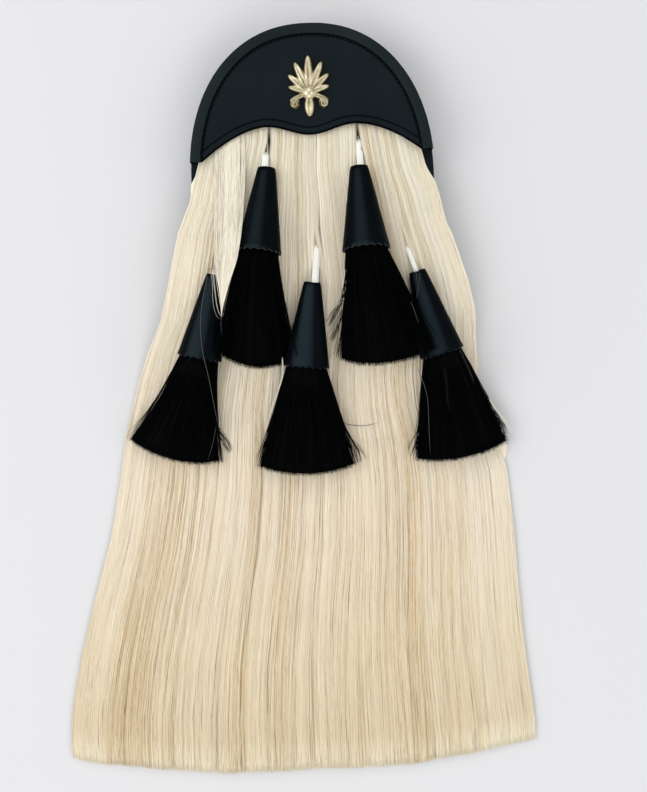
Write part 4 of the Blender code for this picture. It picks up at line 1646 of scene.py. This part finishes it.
# %% Comb the strands
STRAND_RADIUS = (0.00015, 0.00029)
STRAND_TINT_VARIES = 0.25
OWN_WAVE = 0.004
SHORT_SHARE = 0.25
SHORT_BY = (-0.006, 0.005)
EVEN_BY = (-0.0006, 0.0010)
LONGEST = 1.0022
OUTERMOST = 1.004
LOWEST = 0.0004
UPPER_STATIONS = np.linspace(0.0, 0.50, 12)
LOWER_STATIONS = (0.57, 0.66, 0.75, 0.84, 0.92, 0.965, 0.987, 1.0)
STATIONS = np.concatenate((UPPER_STATIONS, LOWER_STATIONS))


def comb(name, count, lift_from, lift_to):
    """One layer of full-length strands from the roots to the hem."""
    u0 = np.sort(rng.uniform(-1.0, 1.0, count))
    lock = nearest_lock(u0)
    down = np.broadcast_to(STATIONS, (count, len(STATIONS)))
    offset = (u0 - lock_middle[lock])[:, None] * (1 - lock_gather[lock][:, None] * down)
    line = np.stack([lock_line(k, STATIONS) for k in range(LOCK_COUNT)])[lock]
    own_wave = OWN_WAVE * own_waves(count, down, 0.4, 1.6)
    crossing = rng.normal(0, CROSSING, count)[:, None] * down
    u = np.clip(line + offset + (own_wave + crossing) * np.sqrt(down), -OUTERMOST, OUTERMOST)
    start = CENTRE.y + ROOT_Y
    reach = 1 + np.where(rng.random(count) < SHORT_SHARE, rng.normal(*SHORT_BY, count),
                         rng.normal(*EVEN_BY, count))
    y = start + (hem_y(u) - start) * down * np.minimum(reach, LONGEST)[:, None]
    x, shade = pushed_aside(hair_x(u, y), y)
    rise = lock_high[lock][:, None] * (1 - np.clip(offset / lock_width[lock][:, None], -1, 1) ** 2)
    lift = rise + rng.uniform(lift_from, lift_to, count)[:, None]
    lift = lift * (1 - 0.5 * np.abs(u) ** 6) * (1 - HEM_CALM * down)
    z = np.maximum(hair_heights(u, x, y, lift), LOWEST)
    tint = (lock_tint[lock] + rng.normal(0, STRAND_TINT_VARIES, count))[:, None] + zone_change(u, down)
    strands = make_strands(name, np.stack((x, y, z), axis=2), rng.uniform(*STRAND_RADIUS, count),
                           np.clip(tint, 0, 1), down, shade, FALL_TAPER)
    return finish_piece(strands, "white_hair")


comb("hair_deep", 1450, -0.0003, 0.0002)
comb("hair_middle", 1500, 0.0000, 0.0005)
comb("hair_upper", 1500, 0.0003, 0.0009)

# %% [markdown]
# ## Black brushes
#
# A tassel's brush is a bundle of black hair bound inside the cone. It leaves the mouth as an
# oval and fans out to a cut arc. A hair keeps its place in the bundle, so its place in the
# mouth's oval, `a` across and `b` up, also gives its place in the fan. A closed core fills the
# middle, and the strands make the surface and the wispy edges.

# %% Place hairs in a brush
BRUSH_GAP = 0.0006
BRUSH_END_HALF = 0.0066
BRUSH_SETTLES = 0.35
BRUSH_CLEAR = 0.0008
NOTHING_THERE = -1.0


def neighbours_top(place):
    """Upper side of the other tassels' cones, for brushes that spread over them."""
    names = ["tassel_cone_" + tassel.place for tassel in TASSELS if tassel.place != place]
    grid = height_grid(cad_tree(*names))
    return np.where(np.isnan(grid), NOTHING_THERE, grid)


def brush_bed(cone, cones_beside, flat, end, along, half):
    """Height that a brush lies on: its cone's wall first, then the hair or a cone beside it."""
    settled = np.clip(along / BRUSH_SETTLES, 0, 1)
    settled = settled * settled * (3 - 2 * settled)
    at_mouth = cone.mouth.z - half * FLATTEN
    free = read_grid(hair_top, flat[..., 0], flat[..., 1]) + BRUSH_GAP
    bed = at_mouth + (free - at_mouth) * settled
    over = read_grid(cones_beside, end[..., 0], end[..., 1])
    bed_over = at_mouth + (over + BRUSH_GAP - at_mouth) * np.clip(along, 0, 1)
    return np.where(over > 0, np.maximum(bed, bed_over), bed)


def inside_cone(cone, side, a, b, along, half):
    """Places of hairs that are still in the cone: an oval that narrows with it."""
    back = np.clip(along, None, 0)
    axis = np.array(cone.mouth) + np.array(cone.mouth - cone.top) * back[..., None]
    shrink = 1 + back * (1 - cone.top_half / cone.half)
    return axis + (
        a[..., None] * np.array((*side, 0.0)) + b[..., None] * FLATTEN * np.array(cone.up)
    ) * (half * shrink)[..., None]


def brush_points(tassel, cone, cones_beside, a, b, along):
    """Points of a brush: a and b place a hair in the bundle, along runs from the mouth at 0."""
    half = cone.half - CONE_WALL - BRUSH_CLEAR
    left, tip, right = (np.array(on_pouch(point)) for point in (tassel.left, tassel.tip, tassel.right))
    end = tip + a[..., None] * (right - left) / 2 + a[..., None] ** 2 * ((left + right) / 2 - tip)
    mouth, side = np.array(cone.mouth.xy), np.array(cone.side.xy)
    if side @ (right - left) < 0:
        side = -side
    start = mouth + a[..., None] * side * half
    out = np.clip(along, 0, None)[..., None]
    bow = np.where(a > 0, tassel.bows[1], tassel.bows[0])[..., None]
    flat = start + (end - start) * out + a[..., None] * side * bow * 4 * out * (1 - out)
    thick = half * FLATTEN + (BRUSH_END_HALF - half * FLATTEN) * np.clip(along, 0, 1)
    z = brush_bed(cone, cones_beside, flat, end, along, half) + thick * (1 + b)
    outside = np.concatenate((flat, z[..., None]), axis=-1)
    return np.where((along < 0)[..., None], inside_cone(cone, side, a, b, along, half), outside)


print("brush helpers ready")

# %% Core of a brush
CORE_SIDES = 36
CORE_RINGS = 18
CORE_SCALE = 0.90
CORE_FROM = -0.80
CORE_TO = 0.980
CORE_FURROWS = 9
FURROW_DEPTH = 0.05
CORE_TINT = 0.1


def make_brush_core(tassel, cone, cones_beside):
    shape = straight_tube(CORE_SIDES, CORE_RINGS, capped=True)
    x, y, z = np.array([vertex.co for vertex in shape.verts]).T
    along = CORE_FROM + (CORE_TO - CORE_FROM) * (0.5 - z)
    furrow = 1 + FURROW_DEPTH * np.sin(CORE_FURROWS * np.arctan2(y, x)) * np.clip(along, 0, 1)
    scale = CORE_SCALE * furrow
    placed = brush_points(tassel, cone, cones_beside, x * scale, y * scale, along)
    for vertex, point in zip(shape.verts, placed):
        vertex.co = point
    bmesh.ops.recalc_face_normals(shape, faces=shape.faces)
    core = add_mesh_object("brush_core_" + tassel.place, shape)
    give_number(core.data, "tint", np.full(len(x), CORE_TINT))
    core.data.shade_smooth()
    return finish_piece(core, "black_hair", "tassel_hair_" + tassel.place)


print("core helper ready")

# %% Cores and strands of the brushes
BRUSH_STRANDS = 1000
BRUSH_STATIONS = np.array([-0.12, 0.0, 0.2, 0.45, 0.7, 0.88, 1.0])
BRUSH_RADIUS = (0.00017, 0.00030)
BRUSH_TINT = (0.45, 0.24)
BRUSH_ROUND = 0.3
LENGTH_BY = (-0.004, 0.009)
FLARE = 0.03
BRUSH_WAVE = 0.012
RISE_AND_FALL = 0.05
# The palest brush hairs are painted glints, for the sheen along black hair.
PALEST_IN_BRUSH = 0.905
WILD_SHARE = 0.07
WILD_SHORTER = 0.12
WILD_FLARE = 0.09


def make_brush_strands(tassel, cone, cones_beside):
    count = BRUSH_STRANDS
    turn = rng.uniform(0, 2 * np.pi, count)
    reach = rng.uniform(0, 1, count) ** BRUSH_ROUND
    a, b = reach * np.cos(turn), reach * np.sin(turn)
    wild = rng.random(count) < WILD_SHARE
    length = 1 + rng.normal(*LENGTH_BY, count)
    length -= np.where(wild, rng.uniform(0, WILD_SHORTER, count), 0)
    along = np.where(BRUSH_STATIONS > 0, BRUSH_STATIONS * length[:, None], BRUSH_STATIONS)
    free = np.clip(along, 0, 1)
    flare = rng.normal(0, FLARE, count)
    flare += np.where(wild, np.abs(rng.normal(0, WILD_FLARE, count)) * np.sign(a), 0)
    wave = BRUSH_WAVE * own_waves(count, free, 0.5, 1.3)
    a = a[:, None] + flare[:, None] * free**2 + wave * free
    b = b[:, None] + rng.normal(0, RISE_AND_FALL, count)[:, None] * free
    paths = brush_points(tassel, cone, cones_beside, a, b, along)
    tint = np.clip(rng.normal(*BRUSH_TINT, count), 0, PALEST_IN_BRUSH)[:, None]
    strands = make_strands("brush_hair_" + tassel.place, paths, rng.uniform(*BRUSH_RADIUS, count), tint)
    return finish_piece(strands, "black_hair", "tassel_hair_" + tassel.place)


for tassel in TASSELS:
    beside = neighbours_top(tassel.place)
    make_brush_core(tassel, cones[tassel.place], beside)
    make_brush_strands(tassel, cones[tassel.place], beside)

# %% [markdown]
# ## Hair that lies over the tassels
#
# Combed hair never stays all in place. A white lock slides over a cone, single pale hairs cross
# the black brushes, and black wisps stand out at their edges. Each of these bundles follows a
# guide line of a few points, counted in millimetres from the pouch's centre. Its height comes
# from rays cast on the finished pieces, so that it drapes over whatever lies below. Its first
# stretch comes up out of the hair, so that no cut ends show.

# %% Surfaces to drape hair over
DRAPED_OVER = ("horsehair_mat", "hair_", "cone_", "brush_", "thong_")
DRAPE_ROUNDS = 8
BESIDE_ALL = 0.001
STEP_DOWN = 0.0005


def drape_grid():
    """The upper side of everything that a loose hair can lie on."""
    meshes = [piece.data for piece in bpy.data.objects if piece.name.startswith(DRAPED_OVER)]
    grid = filled_outward(height_grid(joined_tree(meshes)), DRAPE_ROUNDS, BESIDE_ALL)
    return np.maximum(grid, around(grid).max(axis=0) - STEP_DOWN)


def without_valleys(grid):
    """A skin that spans the hollows between neighbouring pieces, as a thick lock does."""
    skin = grid
    for _ in range(DRAPE_ROUNDS):
        skin = np.maximum(grid, around(skin).mean(axis=0))
    return skin


over_grid = drape_grid()
print("highest place under loose hair:", round(float(over_grid.max()), 4))

# %% Helpers for loose bundles
OVER_STEPS = 26
DRAPE_GAP = 0.0005
START_DIP = 0.0030
START_SHARE = 0.18
ACROSS_SPREAD = 0.7
ACROSS_LIMIT = 1.3
END_ROUNDED = 0.045
END_RAGGED = 0.012
GUIDE_SMOOTHING = 5
# Half widths and points are in millimetres; the widths are spread evenly along the bundle.
Bundle = namedtuple("Bundle", "count widths tint points")


def guide_line(points):
    """Evenly spaced points on a soft curve through the given ones, with its sideways direction."""
    given = np.array([on_pouch((x / 1000, y / 1000)) for x, y in points])
    reach = np.append(0, np.cumsum(np.linalg.norm(np.diff(given, axis=0), axis=1)))
    at = np.linspace(0, reach[-1], OVER_STEPS)
    line = np.stack([np.interp(at, reach, given[:, k]) for k in (0, 1)], axis=1)
    for _ in range(GUIDE_SMOOTHING):
        line[1:-1] = (line[:-2] + 2 * line[1:-1] + line[2:]) / 4
    along = np.gradient(line, axis=0)
    along /= np.linalg.norm(along, axis=1, keepdims=True)
    return line, np.stack((-along[:, 1], along[:, 0]), axis=1)


def bundle_paths(bundle, grid, lift, wander):
    """Strands that follow a guide line, each with its own place across, bend and length."""
    line, side = guide_line(bundle.points)
    share = np.linspace(0, 1, OVER_STEPS)
    across = np.clip(rng.normal(0, ACROSS_SPREAD, bundle.count), -ACROSS_LIMIT, ACROSS_LIMIT)
    width = np.interp(share, np.linspace(0, 1, len(bundle.widths)), bundle.widths) / 1000
    wave = wander * own_waves(bundle.count, share, 0.4, 1.4)
    end = 1 - END_ROUNDED * across**2 - np.abs(rng.normal(0, END_RAGGED, bundle.count))
    at = end[:, None] * share * (OVER_STEPS - 1)
    low = np.clip(at.astype(int), 0, OVER_STEPS - 2)
    part = (at - low)[..., None]
    flat = line[low] * (1 - part) + line[low + 1] * part
    sideways = side[low] * (1 - part) + side[low + 1] * part
    flat = flat + sideways * ((across[:, None] + wave) * width)[..., None]
    z = read_grid(grid, flat[..., 0], flat[..., 1]) + DRAPE_GAP
    z[:, 1:-1] = np.maximum(z[:, 1:-1], (z[:, :-2] + z[:, 2:]) / 2)
    for _ in range(2):
        z[:, 1:-1] = np.maximum(z[:, 1:-1], (z[:, :-2] + 2 * z[:, 1:-1] + z[:, 2:]) / 4)
    z += rng.uniform(0, lift, bundle.count)[:, None]
    z -= START_DIP * np.clip(1 - share / START_SHARE, 0, 1) ** 2
    z = below_flap(flat[..., 0], flat[..., 1], z)
    return np.concatenate((flat, z[..., None]), axis=2)


def lay_bundles(name, bundles, grid, slot, radius, lift, down=None, wander=0.12, vary=0.05):
    """All bundles of one kind, joined into one mesh."""
    paths = np.concatenate([bundle_paths(bundle, grid, lift, wander) for bundle in bundles])
    tint = np.concatenate([rng.normal(bundle.tint, vary, bundle.count) for bundle in bundles])
    tint = np.clip(tint, 0, 1)[:, None]
    strands = make_strands(name, paths, rng.uniform(*radius, len(paths)), tint, down)
    return finish_piece(strands, slot)


print("bundle helpers ready")

# %% Guide lines of the loose bundles
WHITE_LOCKS = [
    Bundle(380, (7.0, 8.0, 8.4, 8.4, 8.2, 8.0, 7.6, 6.6, 3.6, 0.5), 0.78, [
        (-61.9, 46.6), (-63, 14.7), (-64.4, -15.5), (-66.2, -38.7), (-67.7, -56.5),
        (-70.5, -71.2), (-71.2, -82.9), (-72.3, -92), (-73.2, -98.7), (-73.8, -105.5)]),
]
PALE_HAIRS = [
    Bundle(1, (0.6, 0.3, 0.3), 0.80, [
        (-80.8, -66), (-79.3, -81), (-80, -89), (-79.7, -97), (-78.5, -103), (-76.3, -107), (-73.6, -108)]),
    Bundle(2, (0.7, 0.4, 0.3), 0.85, [
        (-79, -64), (-78.1, -80), (-77.6, -89), (-77.1, -96), (-75.7, -103), (-73.8, -106.5),
        (-72.1, -106), (-71.3, -102)]),
    Bundle(2, (0.8, 0.5, 0.4), 0.85, [(-77.3, -62), (-76, -83), (-74.7, -93), (-73.6, -101), (-73.7, -107)]),
    Bundle(5, (0.8, 0.6, 0.4), 0.80, [(-50.5, 0), (-54.5, -18), (-57.8, -38), (-59.5, -52), (-60.6, -64)]),
    Bundle(6, (0.6, 0.8, 0.6), 0.85, [
        (-29, -138), (-28.8, -152), (-36.7, -169.6), (-41.7, -182.8), (-45, -195)]),
    Bundle(4, (0.5, 0.9, 0.7), 0.80, [(21.8, -74), (20.5, -85), (18.8, -96), (16.8, -106)]),
    Bundle(11, (0.4, 1.0, 2.0, 2.8), 0.75, [(129, -176), (134, -185), (140, -195), (144.5, -205)]),
]
GREY_HAIRS = [
    Bundle(1, (0.1, 0.1), 1.0, [
        (-81.6, -66), (-85.1, -82), (-87.6, -90), (-89.7, -101), (-90.4, -109), (-90.6, -117),
        (-90, -130), (-87.1, -143), (-85.5, -155), (-84.3, -167), (-83.2, -179), (-81.5, -190), (-79, -199)]),
    Bundle(1, (0.1, 0.1), 0.955, [(-82.8, -187), (-86.5, -202), (-91.7, -217)]),
    Bundle(1, (0.3, 0.3, 0.3), 0.975, [(-73.7, -104), (-74.6, -113), (-73.6, -120)]),
    Bundle(1, (0.1, 0.1), 0.985, [
        (75, -150), (76.2, -156.2), (79.2, -164.2), (81.5, -174), (81.7, -187.7),
        (81.5, -202.3), (82, -218)]),
    Bundle(1, (0.1, 0.1), 0.955, [(75.2, -76), (76, -83), (75.9, -90), (74.7, -98)]),
    Bundle(1, (0.1, 0.1), 0.965, [(78.6, -76.5), (78, -83), (76.9, -90), (75.2, -99)]),
    Bundle(1, (0.1, 0.1), 0.95, [(69.5, -100), (71.9, -106.4), (75.3, -118.2)]),
    Bundle(2, (0.8, 1.2), 0.935, [(106, -138), (109.7, -145.9), (113.8, -154.9), (117.7, -165.8)]),
    Bundle(4, (0.5, 0.9, 1.7, 2.2), 0.955, [(128, -176), (133, -186), (138.5, -195), (143, -205)]),
    Bundle(3, (1.5, 2.0, 2.5), 0.922, [(94, -150), (96, -160), (97, -172), (98, -186)]),
]
BLACK_WISPS = [
    Bundle(13, (0.5, 1.0, 1.8, 2.6), 0.45, [(24, -68), (21.5, -84), (18.5, -98), (12.5, -107), (7.2, -116)]),
    Bundle(9, (0.6, 1.2, 2.2), 0.45, [(22, -94), (18.5, -108), (13, -118), (7.4, -126.5)]),
    Bundle(9, (0.6, 1.2, 2.4), 0.45, [(20, -112), (17.5, -123), (14.5, -132), (12, -140)]),
    Bundle(9, (0.5, 0.9, 1.7, 2.4), 0.45, [(128, -176), (132.5, -186), (138, -195), (142.5, -206)]),
    Bundle(10, (0.5, 1.2, 3.2), 0.45, [(16, -192), (21, -203), (26, -213), (30, -221.5)]),
    Bundle(11, (0.5, 1.2, 2.4), 0.45, [(-85, -180), (-82, -191), (-77.5, -201), (-73, -210)]),
    Bundle(9, (0.8, 1.4, 2.2), 0.45, [(77, -185), (73.5, -200), (69.5, -212), (67.5, -219)]),
    Bundle(8, (0.8, 1.2, 2.4), 0.45, [(-33, -186), (-41, -200), (-48, -211), (-51.5, -217)]),
    Bundle(8, (0.8, 1.2, 2.0), 0.45, [(-60, -80), (-66, -95), (-71, -107), (-75, -118)]),
    Bundle(8, (0.8, 1.2, 1.8), 0.45, [(-30, -84), (-27.5, -96), (-25.5, -104), (-24.5, -110)]),
    Bundle(5, (0.3, 0.5, 0.4), 0.30, [(-60.6, -37), (-61.2, -44), (-61.9, -50), (-62.2, -56)]),
    Bundle(1, (0.1, 0.1), 0.60, [
        (14.5, -190.2), (20.7, -192.4), (28.5, -193.5), (36.4, -193.2), (42.4, -191.6)]),
]
print("bundles:", sum(len(kind) for kind in (WHITE_LOCKS, PALE_HAIRS, GREY_HAIRS, BLACK_WISPS)))

# %% Lay the loose bundles
LOOSE_DOWN = 0.1

lay_bundles("loose_locks", WHITE_LOCKS, without_valleys(over_grid), "white_hair",
            radius=(0.00015, 0.00026), lift=0.0012, down=LOOSE_DOWN)
lay_bundles("pale_hairs", PALE_HAIRS, over_grid, "white_hair",
            radius=(0.00010, 0.00016), lift=0.0004, down=LOOSE_DOWN)
lay_bundles("grey_hairs", GREY_HAIRS, over_grid, "black_hair",
            radius=(0.00018, 0.00024), lift=0.0004, vary=0.006)
lay_bundles("black_wisps", BLACK_WISPS, over_grid, "black_hair",
            radius=(0.00016, 0.00026), lift=0.0006, wander=0.6)
